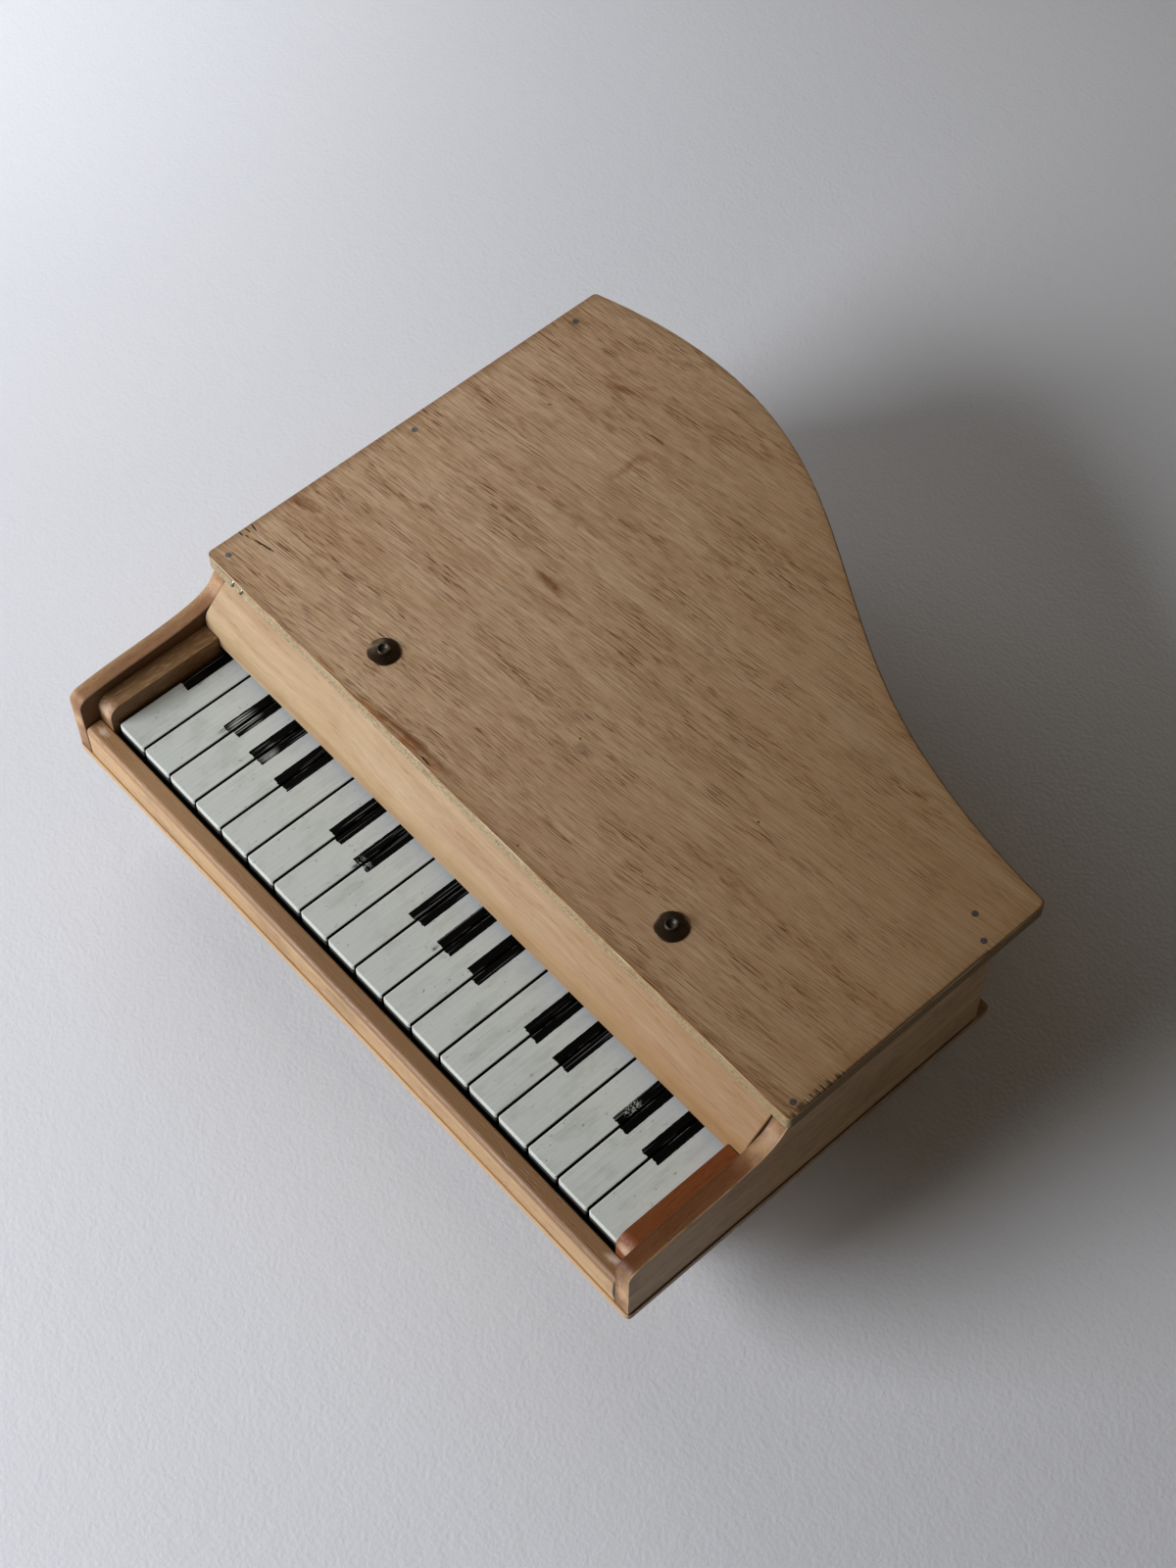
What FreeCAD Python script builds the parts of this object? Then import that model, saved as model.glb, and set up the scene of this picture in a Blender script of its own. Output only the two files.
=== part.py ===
import FreeCAD, Part
import math
import os
import Sketcher
from FreeCAD import Placement, Rotation, Vector

doc = FreeCAD.newDocument("ToyPiano")
sheet = doc.addObject("Spreadsheet::Sheet", "Sizes")

# Driving sizes in millimetres; distances back are counted from the key fronts
sizes = [
    # keyboard
    ("key_count", 18),
    ("key_pitch", 15.0),
    ("key_gap", 0.8),
    ("key_length", 106.0),
    ("key_thick", 10.0),
    ("key_corner", 1.2),
    ("key_edge", 0.5),
    ("key_pivot", 62.0),
    ("key_wire_radius", 1.25),
    ("wire_play", 0.06),
    # heights of the case, from the floor up
    ("leg_height", 35.0),
    ("base_thick", 3.0),
    ("key_rise", 19.5),
    ("case_height", 47.4),
    ("lid_thick", 7.0),
    # side boards with their arms
    ("side_thick", 6.5),
    ("side_lap_right", 3.2),
    ("side_lap_left", 0.7),
    ("arm_height", 31.6),
    ("arm_round", 4.6),
    ("sweep_end", 60.5),
    # key blocks beside the end keys
    ("block_width", 7.7),
    ("block_gap", 1.0),
    ("block_rise", 8.3),
    ("block_round", 5.0),
    ("block_reach", 72.0),
    # rail in front of the keys
    ("rail_thick", 7.2),
    ("rail_gap", 2.0),
    ("rail_height", 16.0),
    ("rail_round", 2.0),
    # base board and lid
    ("base_lip", 0.6),
    ("board_corner", 2.0),
    ("base_inset_right", 16.6),
    ("base_inset_tail", 7.1),
    ("lid_front", 58.0),
    ("lid_overhang", 1.3),
    ("lid_right", 177.3),
    ("lid_tail", 258.1),
    # curved wall
    ("bent_inset_right", 20.1),
    ("bent_inset_tail", 10.6),
    ("bent_thick", 5.4),
    # fallboard
    ("fall_nose", 47.7),
    ("fall_play", 0.3),
    ("fall_lift", 2.2),
    ("fall_bend", 14.8),
    ("fall_top", 61.0),
    ("fall_depth", 7.4),
    ("fall_back_bend", 12.5),
    ("fall_top_depth", 8.5),
    ("fall_round", 7.0),
    ("fall_edge", 1.5),
    # strips under the keys
    ("balance_width", 6.0),
    ("balance_gap", 0.6),
    ("stop_from", 4.0),
    ("stop_width", 10.0),
    ("stop_thick", 4.5),
    ("rest_inset", 12.0),
    ("rest_width", 10.0),
    ("rest_gap", 0.3),
    ("felt_thick", 2.0),
    # hammers and the comb that carries them
    ("hammer_behind", 12.0),
    ("hammer_wire_radius", 1.0),
    ("hammer_gap", 0.4),
    ("hammer_width", 9.0),
    ("hammer_reach", 28.0),
    ("shank_thick", 4.0),
    ("head_length", 7.0),
    ("strike_share", 0.251),
    ("comb_gap", 3.2),
    ("comb_thick", 8.0),
    ("lug_thick", 3.0),
    ("lug_reach", 3.0),
    # tone bar and rods
    ("bar_from", 72.0),
    ("bar_width", 12.0),
    ("bar_height", 13.9),
    ("bar_inset", 3.0),
    ("rod_radius", 1.5),
    ("rod_drop_share", 0.283),
    ("rod_seat", 10.0),
    ("rod_long_share", 0.803),
    ("rod_short_share", 0.811),
    # bolts that hold the tone bar under the lid
    ("bolt_spread", 149.6),
    ("bolt_radius", 1.7),
    ("hole_play", 0.1),
    ("bolt_seat", 10.0),
    ("bolt_head_radius", 2.5),
    ("bolt_head_height", 1.2),
    ("socket_radius", 1.5),
    ("socket_depth", 0.9),
    ("washer_radius", 6.0),
    ("washer_height", 1.3),
    ("washer_rim", 0.4),
    # nails through the lid
    ("nail_radius", 0.6),
    ("nail_head_radius", 1.25),
    ("nail_head_thick", 0.6),
    ("nail_hold", 9.0),
    ("nail_left_inset", 4.6),
    ("nail_right_inset", 2.7),
    ("nail_front", 63.5),
    ("nail_end_inset", 2.7),
    ("nail_rear_inset", 4.1),
    ("nail_wall_side", 11.8),
    ("nail_wall_inset", 0.6),
    # legs and the screws that hold them
    ("leg_top_radius", 9.0),
    ("leg_foot_radius", 6.5),
    ("leg_inset", 30.2),
    ("leg_front", 22.0),
    ("leg_tail_side", 75.0),
    ("leg_tail_inset", 53.1),
    ("screw_radius", 1.8),
    ("screw_head_radius", 3.6),
    ("screw_head_thick", 1.8),
    ("screw_hold", 18.0),
]
for row, (alias, amount) in enumerate(sizes, start=1):
    sheet.set(f"A{row}", alias)
    sheet.set(f"B{row}", str(amount))
    sheet.setAlias(f"B{row}", alias)
doc.recompute()

quarter_turn = 90
sketch_start = 5.0
overrun = 1.0
near = 0.01

# Tail curve: shares of the width from the left, and of the rise from right corner to tail
tail_shares = [
    (0.00, 0.865),
    (0.10, 0.964),
    (0.19, 1.000),
    (0.30, 0.964),
    (0.42, 0.810),
    (0.55, 0.540),
    (0.70, 0.243),
    (0.85, 0.073),
    (1.00, 0.000),
]

# Sweep of an arm: shares of its length, and of the rise from arm to lid
sweep_shares = [
    (0.000, 0.000),
    (0.270, 0.095),
    (0.485, 0.125),
    (0.730, 0.215),
    (0.840, 0.320),
    (0.915, 0.490),
    (0.970, 0.770),
    (1.000, 1.000),
]

# Rules that several pieces share
half_keys = "(Sizes.key_count * Sizes.key_pitch / 2)"
half_bed = f"({half_keys} + Sizes.block_gap)"
half_inner = f"({half_bed} + Sizes.block_width)"
half_outer = f"({half_inner} + Sizes.side_thick)"
key_front = "((Sizes.rail_thick + Sizes.rail_gap + Sizes.base_lip - Sizes.lid_tail) / 2)"
base_top = "(Sizes.leg_height + Sizes.base_thick)"
key_top = f"({base_top} + Sizes.key_rise)"
key_under = f"({key_top} - Sizes.key_thick)"
lid_under = f"({base_top} + Sizes.case_height)"
lid_top = f"({lid_under} + Sizes.lid_thick)"
hammer_height = f"({key_top} + Sizes.hammer_gap + Sizes.shank_thick / 2)"
hammer_back = f"({key_front} + Sizes.key_length + Sizes.hammer_behind)"
action_space = "(Sizes.case_height - Sizes.key_rise)"
rod_height = f"({lid_under} - Sizes.rod_drop_share * {action_space})"
wall_inside = "Sizes.bent_thick + Sizes.bar_from + Sizes.bar_width"
rod_long = f"(Sizes.rod_long_share * (Sizes.lid_tail - Sizes.bent_inset_tail - ({wall_inside})))"
rod_short = f"(Sizes.rod_short_share * (Sizes.lid_right - Sizes.bent_inset_right - ({wall_inside})))"
bar_rear = f"({key_front} + Sizes.bar_from + Sizes.bar_width)"
bar_middle = f"({bar_rear} - Sizes.bar_width / 2)"

pieces = {}


def size(alias):
    return float(sheet.get(alias))


def move(item, across, back, up):
    item.setExpression("Placement.Base.x", across)
    item.setExpression("Placement.Base.y", back)
    item.setExpression("Placement.Base.z", up)
    return item


def keep(item, name):
    item.Label = name
    pieces[name] = item
    return item


def block(name, wide, deep, tall):
    item = doc.addObject("Part::Box", name)
    item.setExpression("Length", wide)
    item.setExpression("Width", deep)
    item.setExpression("Height", tall)
    return item


turns = {
    "X": Rotation(Vector(0, 1, 0), quarter_turn),
    "Y": Rotation(Vector(1, 0, 0), -quarter_turn),
    "Z": Rotation(),
}


def round_bar(name, axis, radius, length):
    item = doc.addObject("Part::Cylinder", name)
    item.Placement = Placement(Vector(), turns[axis])
    item.setExpression("Radius", radius)
    item.setExpression("Height", length)
    return item


def taper(name, low_radius, high_radius, height):
    item = doc.addObject("Part::Cone", name)
    item.setExpression("Radius1", low_radius)
    item.setExpression("Radius2", high_radius)
    item.setExpression("Height", height)
    return item


def fuse(name, parts):
    item = doc.addObject("Part::MultiFuse", name)
    item.Shapes = parts
    item.Refine = True
    return item


def cut(name, base, tool):
    item = doc.addObject("Part::Cut", name)
    item.Base = base
    item.Tool = tool
    return item


def group(name, parts):
    item = doc.addObject("Part::Compound", name)
    item.Links = parts
    return item


def shaped(name, solid):
    item = doc.addObject("Part::Feature", name)
    item.Shape = solid
    item.Placement = Placement()
    return keep(item, name)


def sketch_on(body, role, name):
    sketch = body.newObject("Sketcher::SketchObject", name)
    plane = [item for item in body.Origin.OriginFeatures if item.Role == role][0]
    sketch.AttachmentSupport = (plane, [""])
    sketch.MapMode = "FlatFace"
    return sketch


def drive(sketch, constraint, name, rule):
    index = sketch.addConstraint(constraint)
    sketch.renameConstraint(index, name)
    sketch.setExpression(f"Constraints.{name}", rule)


def rectangle(sketch, wide, tall):
    ends = [(0, 0), (sketch_start, 0), (sketch_start, sketch_start), (0, sketch_start)]
    for first, second in zip(ends, ends[1:] + ends[:1]):
        sketch.addGeometry(Part.LineSegment(Vector(*first, 0), Vector(*second, 0)), False)
    for line in range(len(ends)):
        sketch.addConstraint(Sketcher.Constraint("Coincident", line, 2, (line + 1) % len(ends), 1))
    for line in (0, 2):
        sketch.addConstraint(Sketcher.Constraint("Horizontal", line))
    for line in (1, 3):
        sketch.addConstraint(Sketcher.Constraint("Vertical", line))
    sketch.addConstraint(Sketcher.Constraint("Coincident", 0, 1, -1, 1))
    drive(sketch, Sketcher.Constraint("DistanceX", 0, 1, 0, 2, sketch_start), "wide", wide)
    drive(sketch, Sketcher.Constraint("DistanceY", 1, 1, 1, 2, sketch_start), "tall", tall)


def ring(sketch, across, up, radius):
    centre = Vector(sketch_start, sketch_start, 0)
    sketch.addGeometry(Part.Circle(centre, Vector(0, 0, 1), sketch_start), False)
    drive(sketch, Sketcher.Constraint("DistanceX", -1, 1, 0, 3, sketch_start), "across", across)
    drive(sketch, Sketcher.Constraint("DistanceY", -1, 1, 0, 3, sketch_start), "up", up)
    drive(sketch, Sketcher.Constraint("Radius", 0, sketch_start), "radius", radius)


def pad(body, sketch, name, length):
    feature = body.newObject("PartDesign::Pad", name)
    feature.Profile = sketch
    feature.setExpression("Length", length)
    return feature


def bore(body, sketch, name):
    feature = body.newObject("PartDesign::Pocket", name)
    feature.Profile = sketch
    feature.Type = "ThroughAll"
    feature.Reversed = True
    return feature


def round_edges(body, feature, name, radius, wanted):
    doc.recompute()
    chosen = []
    for index, edge in enumerate(feature.Shape.Edges, start=1):
        if wanted(edge.BoundBox):
            chosen.append(f"Edge{index}")
    fillet = body.newObject("PartDesign::Fillet", name)
    fillet.Base = (feature, chosen)
    fillet.setExpression("Radius", radius)
    return fillet


# White keys, each turning on the wire that runs through all of them
key_total = int(size("key_count"))
key_thick = size("key_thick")
key_length = size("key_length")
for index in range(key_total):
    name = f"key_{index + 1:02d}"
    body = doc.addObject("PartDesign::Body", name)
    plan = sketch_on(body, "XY_Plane", f"{name}_plan")
    rectangle(plan, "Sizes.key_pitch - Sizes.key_gap", "Sizes.key_length")
    stick = pad(body, plan, f"{name}_stick", "Sizes.key_thick")
    corners = round_edges(
        body, stick, f"{name}_corners", "Sizes.key_corner",
        lambda box: box.YMax < near and box.ZLength > near,
    )
    edges = round_edges(
        body, corners, f"{name}_edges", "Sizes.key_edge",
        lambda box: box.ZMin > key_thick - near and box.YMin < key_length - near,
    )
    hole = sketch_on(body, "YZ_Plane", f"{name}_hole")
    ring(hole, "Sizes.key_pivot", "Sizes.key_thick / 2", "Sizes.key_wire_radius + Sizes.wire_play")
    bore(body, hole, f"{name}_bore")
    move(body, f"{index} * Sizes.key_pitch + Sizes.key_gap / 2 - {half_keys}", key_front, key_under)
    keep(body, name)

# Rail in front of the keys
rail_height = size("rail_height")
body = doc.addObject("PartDesign::Body", "front_rail")
section = sketch_on(body, "YZ_Plane", "rail_section")
rectangle(section, "Sizes.rail_thick", "Sizes.rail_height")
strip = pad(body, section, "rail_strip", f"2 * {half_inner}")
round_edges(
    body, strip, "rail_nose", "Sizes.rail_round",
    lambda box: box.YMax < near and box.ZMin > rail_height - near,
)
move(body, f"-{half_inner}", f"{key_front} - Sizes.rail_gap - Sizes.rail_thick", base_top)
keep(body, "front_rail")

# Key blocks: a step under the fallboard, a rounded nose at the rail
block_top = size("key_rise") + size("block_rise")
for name, across in (("key_block_left", f"-{half_inner}"), ("key_block_right", half_bed)):
    body = doc.addObject("PartDesign::Body", name)
    low = sketch_on(body, "YZ_Plane", f"{name}_low")
    rectangle(low, "Sizes.rail_gap + Sizes.block_reach", "Sizes.key_rise")
    pad(body, low, f"{name}_step", "Sizes.block_width")
    high = sketch_on(body, "YZ_Plane", f"{name}_high")
    rectangle(high, "Sizes.rail_gap + Sizes.fall_nose - Sizes.fall_play", "Sizes.key_rise + Sizes.block_rise")
    cheek = pad(body, high, f"{name}_cheek", "Sizes.block_width")
    nose = round_edges(
        body, cheek, f"{name}_nose", "Sizes.block_round",
        lambda box: box.YMax < near and box.ZMin > block_top - near,
    )
    hole = sketch_on(body, "YZ_Plane", f"{name}_hole")
    ring(
        hole, "Sizes.rail_gap + Sizes.key_pivot", "Sizes.key_rise - Sizes.key_thick / 2",
        "Sizes.key_wire_radius",
    )
    bore(body, hole, f"{name}_bore")
    move(body, across, f"{key_front} - Sizes.rail_gap", base_top)
    keep(body, name)

# Wire that the keys turn on
wire = round_bar("key_pivot_wire", "X", "Sizes.key_wire_radius", f"2 * {half_inner}")
move(wire, f"-{half_inner}", f"{key_front} + Sizes.key_pivot", f"{key_under} + Sizes.key_thick / 2")
keep(wire, "key_pivot_wire")

# Balance rail, rest rail and the felts that stop the keys
balance = block(
    "balance_rail", f"2 * {half_bed}", "Sizes.balance_width",
    "Sizes.key_rise - Sizes.key_thick - Sizes.balance_gap",
)
move(balance, f"-{half_bed}", f"{key_front} + Sizes.key_pivot - Sizes.balance_width / 2", base_top)
keep(balance, "balance_rail")
rest_height = "Sizes.key_rise - Sizes.key_thick - Sizes.rest_gap - Sizes.felt_thick"
rest = block("key_rest_rail", f"2 * {half_inner}", "Sizes.rest_width", rest_height)
move(rest, f"-{half_inner}", f"{key_front} + Sizes.key_length - Sizes.rest_inset", base_top)
keep(rest, "key_rest_rail")
rest_felt = block("rest_felt", f"2 * {half_inner}", "Sizes.rest_width", "Sizes.felt_thick")
move(rest_felt, f"-{half_inner}", f"{key_front} + Sizes.key_length - Sizes.rest_inset", f"{base_top} + {rest_height}")
stop_felt = block("stop_felt", f"2 * {half_bed}", "Sizes.stop_width", "Sizes.stop_thick")
move(stop_felt, f"-{half_bed}", f"{key_front} + Sizes.stop_from", base_top)
keep(group("key_felts", [stop_felt, rest_felt]), "key_felts")

# Hammers, one over the tail of each key, turning on their own wire
head_top = f"({rod_height} - Sizes.rod_radius - Sizes.strike_share * {action_space})"
head_rise = f"({head_top} - {hammer_height} - Sizes.head_length / 2)"
hammer_left = "-Sizes.hammer_width / 2"
for index in range(key_total):
    name = f"hammer_{index + 1:02d}"
    shank = block(f"{name}_shank", "Sizes.hammer_width", "Sizes.hammer_reach", "Sizes.shank_thick")
    move(shank, hammer_left, "-Sizes.hammer_reach", "-Sizes.shank_thick / 2")
    eye = round_bar(f"{name}_eye", "X", "Sizes.shank_thick / 2", "Sizes.hammer_width")
    move(eye, hammer_left, "0", "0")
    head = block(f"{name}_head", "Sizes.hammer_width", "Sizes.head_length", f"{head_rise} + Sizes.shank_thick / 2")
    move(head, hammer_left, "-Sizes.hammer_reach", "-Sizes.shank_thick / 2")
    crown = round_bar(f"{name}_crown", "X", "Sizes.head_length / 2", "Sizes.hammer_width")
    move(crown, hammer_left, "Sizes.head_length / 2 - Sizes.hammer_reach", head_rise)
    hole = round_bar(
        f"{name}_hole", "X", "Sizes.hammer_wire_radius + Sizes.wire_play",
        f"Sizes.hammer_width + 2 * {overrun}",
    )
    move(hole, f"{hammer_left} - {overrun}", "0", "0")
    hammer = cut(name, fuse(f"{name}_body", [shank, eye, head, crown]), hole)
    move(
        hammer, f"({index} + 0.5) * Sizes.key_pitch - {half_keys}",
        f"{hammer_back}", hammer_height,
    )
    keep(hammer, name)

# Comb that carries the hammer wire, with a lug on each side of every hammer
comb_height = f"{hammer_height} + Sizes.lug_reach - {base_top}"
beam = block("comb_beam", f"2 * {half_inner}", "Sizes.comb_thick", comb_height)
move(beam, f"-{half_inner}", f"{hammer_back} + Sizes.comb_gap", base_top)
lugs = [beam]
for index in range(key_total + 1):
    lug = block(
        f"lug_{index + 1:02d}", "Sizes.lug_thick",
        "Sizes.lug_reach + Sizes.comb_gap + Sizes.comb_thick / 2", comb_height,
    )
    move(
        lug, f"{index} * Sizes.key_pitch - {half_keys} - Sizes.lug_thick / 2",
        f"{hammer_back} - Sizes.lug_reach", base_top,
    )
    lugs.append(lug)
wire_length = f"2 * {half_keys} + Sizes.lug_thick"
wire_left = f"-{half_keys} - Sizes.lug_thick / 2"
wire_back = f"{hammer_back}"
comb_hole = round_bar("comb_hole", "X", "Sizes.hammer_wire_radius", f"{wire_length} + 2 * {overrun}")
move(comb_hole, f"{wire_left} - {overrun}", wire_back, hammer_height)
keep(cut("hammer_rail", fuse("comb", lugs), comb_hole), "hammer_rail")
wire = round_bar("hammer_pivot_wire", "X", "Sizes.hammer_wire_radius", wire_length)
move(wire, wire_left, wire_back, hammer_height)
keep(wire, "hammer_pivot_wire")

# Tone bar under the lid, with one steel rod for each key
bar_blank = block("bar_blank", f"2 * ({half_keys} - Sizes.bar_inset)", "Sizes.bar_width", "Sizes.bar_height")
move(bar_blank, f"Sizes.bar_inset - {half_keys}", f"{key_front} + Sizes.bar_from", f"{lid_under} - Sizes.bar_height")
bar_holes = []
rods = []
for index in range(key_total):
    across = f"({index} + 0.5) * Sizes.key_pitch - {half_keys}"
    seat = round_bar(f"rod_hole_{index + 1:02d}", "Y", "Sizes.rod_radius", f"Sizes.rod_seat + {overrun}")
    bar_holes.append(move(seat, across, f"{bar_rear} - Sizes.rod_seat", rod_height))
    length = f"{rod_long} * ({rod_short} / {rod_long}) ^ ({index} / (Sizes.key_count - 1))"
    rod = round_bar(f"rod_{index + 1:02d}", "Y", "Sizes.rod_radius", f"Sizes.rod_seat + {length}")
    rods.append(move(rod, across, f"{bar_rear} - Sizes.rod_seat", rod_height))
keep(group("tone_rods", rods), "tone_rods")

# Bolts and cup washers on the lid
bolts = []
washers = []
for side, sign in (("left", "-"), ("right", "")):
    across = f"{sign}Sizes.bolt_spread / 2"
    seat = round_bar(f"bolt_hole_{side}", "Z", "Sizes.bolt_radius", f"Sizes.bolt_seat + {overrun}")
    bar_holes.append(move(seat, across, bar_middle, f"{lid_under} - Sizes.bolt_seat"))
    shank = round_bar(
        f"bolt_shank_{side}", "Z", "Sizes.bolt_radius",
        "Sizes.bolt_seat + Sizes.lid_thick + Sizes.washer_height",
    )
    move(shank, across, bar_middle, f"{lid_under} - Sizes.bolt_seat")
    head = round_bar(f"bolt_head_{side}", "Z", "Sizes.bolt_head_radius", "Sizes.bolt_head_height")
    move(head, across, bar_middle, f"{lid_top} + Sizes.washer_height")
    socket = round_bar(f"bolt_socket_{side}", "Z", "Sizes.socket_radius", f"Sizes.socket_depth + {overrun}")
    socket_floor = "Sizes.washer_height + Sizes.bolt_head_height - Sizes.socket_depth"
    move(socket, across, bar_middle, f"{lid_top} + {socket_floor}")
    bolts.append(cut(f"bolt_{side}", fuse(f"bolt_blank_{side}", [shank, head]), socket))
    rim = round_bar(f"washer_rim_{side}", "Z", "Sizes.washer_radius", "Sizes.washer_rim")
    move(rim, across, bar_middle, lid_top)
    cup = taper(
        f"washer_cup_{side}", "Sizes.washer_radius", "Sizes.bolt_head_radius",
        "Sizes.washer_height - Sizes.washer_rim",
    )
    move(cup, across, bar_middle, f"{lid_top} + Sizes.washer_rim")
    hole = round_bar(
        f"washer_hole_{side}", "Z", "Sizes.bolt_radius + Sizes.hole_play",
        f"Sizes.washer_height + 2 * {overrun}",
    )
    move(hole, across, bar_middle, f"{lid_top} - {overrun}")
    washers.append(cut(f"washer_{side}", fuse(f"washer_blank_{side}", [rim, cup]), hole))
keep(cut("tone_bar", bar_blank, fuse("bar_hole_set", bar_holes)), "tone_bar")
keep(group("lid_bolts", bolts), "lid_bolts")
keep(group("cup_washers", washers), "cup_washers")

# Legs under the base, each held by a screw from inside the case
leg_places = [
    ("leg_front_left", f"Sizes.leg_inset - {half_outer}", "Sizes.leg_front"),
    ("leg_front_right", f"{half_outer} - Sizes.leg_inset", "Sizes.leg_front"),
    ("leg_tail", "-Sizes.leg_tail_side", "Sizes.lid_tail - Sizes.leg_tail_inset"),
]
screws = []
for name, across, back in leg_places:
    back = f"{key_front} + {back}"
    peg = taper(f"{name}_peg", "Sizes.leg_foot_radius", "Sizes.leg_top_radius", "Sizes.leg_height")
    move(peg, across, back, "0")
    hole = round_bar(f"{name}_hole", "Z", "Sizes.screw_radius", f"Sizes.screw_hold + {overrun}")
    move(hole, across, back, "Sizes.leg_height - Sizes.screw_hold")
    keep(cut(name, peg, hole), name)
    shank = round_bar(f"{name}_shank", "Z", "Sizes.screw_radius", "Sizes.screw_hold + Sizes.base_thick")
    move(shank, across, back, "Sizes.leg_height - Sizes.screw_hold")
    head = round_bar(f"{name}_head", "Z", "Sizes.screw_head_radius", "Sizes.screw_head_thick")
    move(head, across, back, base_top)
    screws.append(fuse(f"{name}_screw", [shank, head]))
keep(group("leg_screws", screws), "leg_screws")

# Lengths that the curved and profiled boards share
front = (size("rail_thick") + size("rail_gap") + size("base_lip") - size("lid_tail")) / 2
arm_front = front - size("rail_gap") - size("rail_thick")
floor_top = size("leg_height") + size("base_thick")
keys_top = floor_top + size("key_rise")
roof = floor_top + size("case_height")
roof_top = roof + size("lid_thick")
inner = key_total * size("key_pitch") / 2 + size("block_gap") + size("block_width")
outer = inner + size("side_thick")
wall_right = size("lid_right") - size("bent_inset_right")
wall_tail = size("lid_tail") - size("bent_inset_tail")
wall_left = wall_right + tail_shares[0][1] * (wall_tail - wall_right)
left_side_end = wall_left + size("side_lap_left")
right_side_end = wall_right - size("side_lap_right")


def tail_curve(half_width, right_end, tail_end, height):
    points = []
    for across_share, rise_share in tail_shares:
        across = half_width * (2 * across_share - 1)
        back = front + right_end + rise_share * (tail_end - right_end)
        points.append(Vector(across, back, height))
    curve = Part.BSplineCurve()
    curve.interpolate(points)
    return curve.toShape()


def outline(edges):
    return Part.Face(Part.Wire(Part.__sortEdges__(edges)))


def board(half_width, front_edge, right_end, tail_end, low, thick):
    curve = tail_curve(half_width, right_end, tail_end, low)
    left_rear = curve.Vertexes[0].Point
    right_rear = curve.Vertexes[-1].Point
    left_front = Vector(-half_width, front_edge, low)
    right_front = Vector(half_width, front_edge, low)
    sides = [
        curve,
        Part.makeLine(right_rear, right_front),
        Part.makeLine(right_front, left_front),
        Part.makeLine(left_front, left_rear),
    ]
    solid = outline(sides).extrude(Vector(0, 0, thick))
    uprights = [edge for edge in solid.Edges if edge.BoundBox.ZLength > thick - near]
    return solid.makeFillet(size("board_corner"), uprights)


# Nails through the lid: along both sides and one into the curved wall
nail_places = [
    (size("nail_left_inset") - outer, size("nail_front")),
    (size("nail_left_inset") - outer, right_side_end - size("nail_end_inset")),
    (size("nail_left_inset") - outer, left_side_end - size("nail_rear_inset")),
    (outer - size("nail_right_inset"), size("nail_front")),
    (outer - size("nail_right_inset"), right_side_end - size("nail_end_inset")),
    (outer - size("nail_wall_side"), wall_right - size("nail_wall_inset")),
]
nails = []
for across, back in nail_places:
    head_low = roof_top - size("nail_head_thick")
    head = Part.makeCylinder(
        size("nail_head_radius"), size("nail_head_thick"), Vector(across, front + back, head_low)
    )
    tip = roof - size("nail_hold")
    shank = Part.makeCylinder(size("nail_radius"), head_low - tip, Vector(across, front + back, tip))
    nails.append(head.fuse(shank).removeSplitter())
nail_set = Part.makeCompound(nails)
shaped("lid_nails", nail_set)

# Lid with its bolt holes
lid = board(
    outer + size("lid_overhang"), front + size("lid_front"),
    size("lid_right"), size("lid_tail"), roof, size("lid_thick"),
)
bolt_back = front + size("bar_from") + size("bar_width") / 2
for sign in (-1, 1):
    across = sign * size("bolt_spread") / 2
    hole = Part.makeCylinder(
        size("bolt_radius") + size("hole_play"), size("lid_thick") + 2 * overrun,
        Vector(across, bolt_back, roof - overrun),
    )
    lid = lid.cut(hole)
shaped("lid", lid.cut(nail_set))

# Base board with a hole for each leg screw
base = board(
    outer + size("base_lip"), arm_front - size("base_lip"),
    size("lid_right") - size("base_inset_right"), size("lid_tail") - size("base_inset_tail"),
    size("leg_height"), size("base_thick"),
)
screw_places = [
    (size("leg_inset") - outer, size("leg_front")),
    (outer - size("leg_inset"), size("leg_front")),
    (-size("leg_tail_side"), size("lid_tail") - size("leg_tail_inset")),
]
for across, back in screw_places:
    hole = Part.makeCylinder(
        size("screw_radius"), size("base_thick") + 2 * overrun,
        Vector(across, front + back, size("leg_height") - overrun),
    )
    base = base.cut(hole)
shaped("base_board", base)


# Side boards: arm with a rounded front, sweeping up to the lid
def side_board(left, rear):
    arm_top = floor_top + size("arm_height")
    bend = size("arm_round")
    half_bend = bend * (1 - math.sqrt(1 / 2))
    sweep_front = arm_front + bend
    sweep_length = front + size("sweep_end") - sweep_front
    points = []
    for along_share, rise_share in sweep_shares:
        points.append(Vector(left, sweep_front + along_share * sweep_length, arm_top + rise_share * (roof - arm_top)))
    sweep = Part.BSplineCurve()
    sweep.interpolate(points)
    low_front = Vector(left, arm_front, floor_top)
    nose_low = Vector(left, arm_front, arm_top - bend)
    nose_middle = Vector(left, arm_front + half_bend, arm_top - half_bend)
    high_rear = Vector(left, front + rear, roof)
    low_rear = Vector(left, front + rear, floor_top)
    edges = [
        Part.makeLine(low_front, nose_low),
        Part.Arc(nose_low, nose_middle, points[0]).toShape(),
        sweep.toShape(),
        Part.makeLine(points[-1], high_rear),
        Part.makeLine(high_rear, low_rear),
        Part.makeLine(low_rear, low_front),
    ]
    return outline(edges).extrude(Vector(size("side_thick"), 0, 0)).cut(nail_set)


shaped("left_side", side_board(-outer, left_side_end))
shaped("right_side", side_board(inner, right_side_end))

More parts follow.
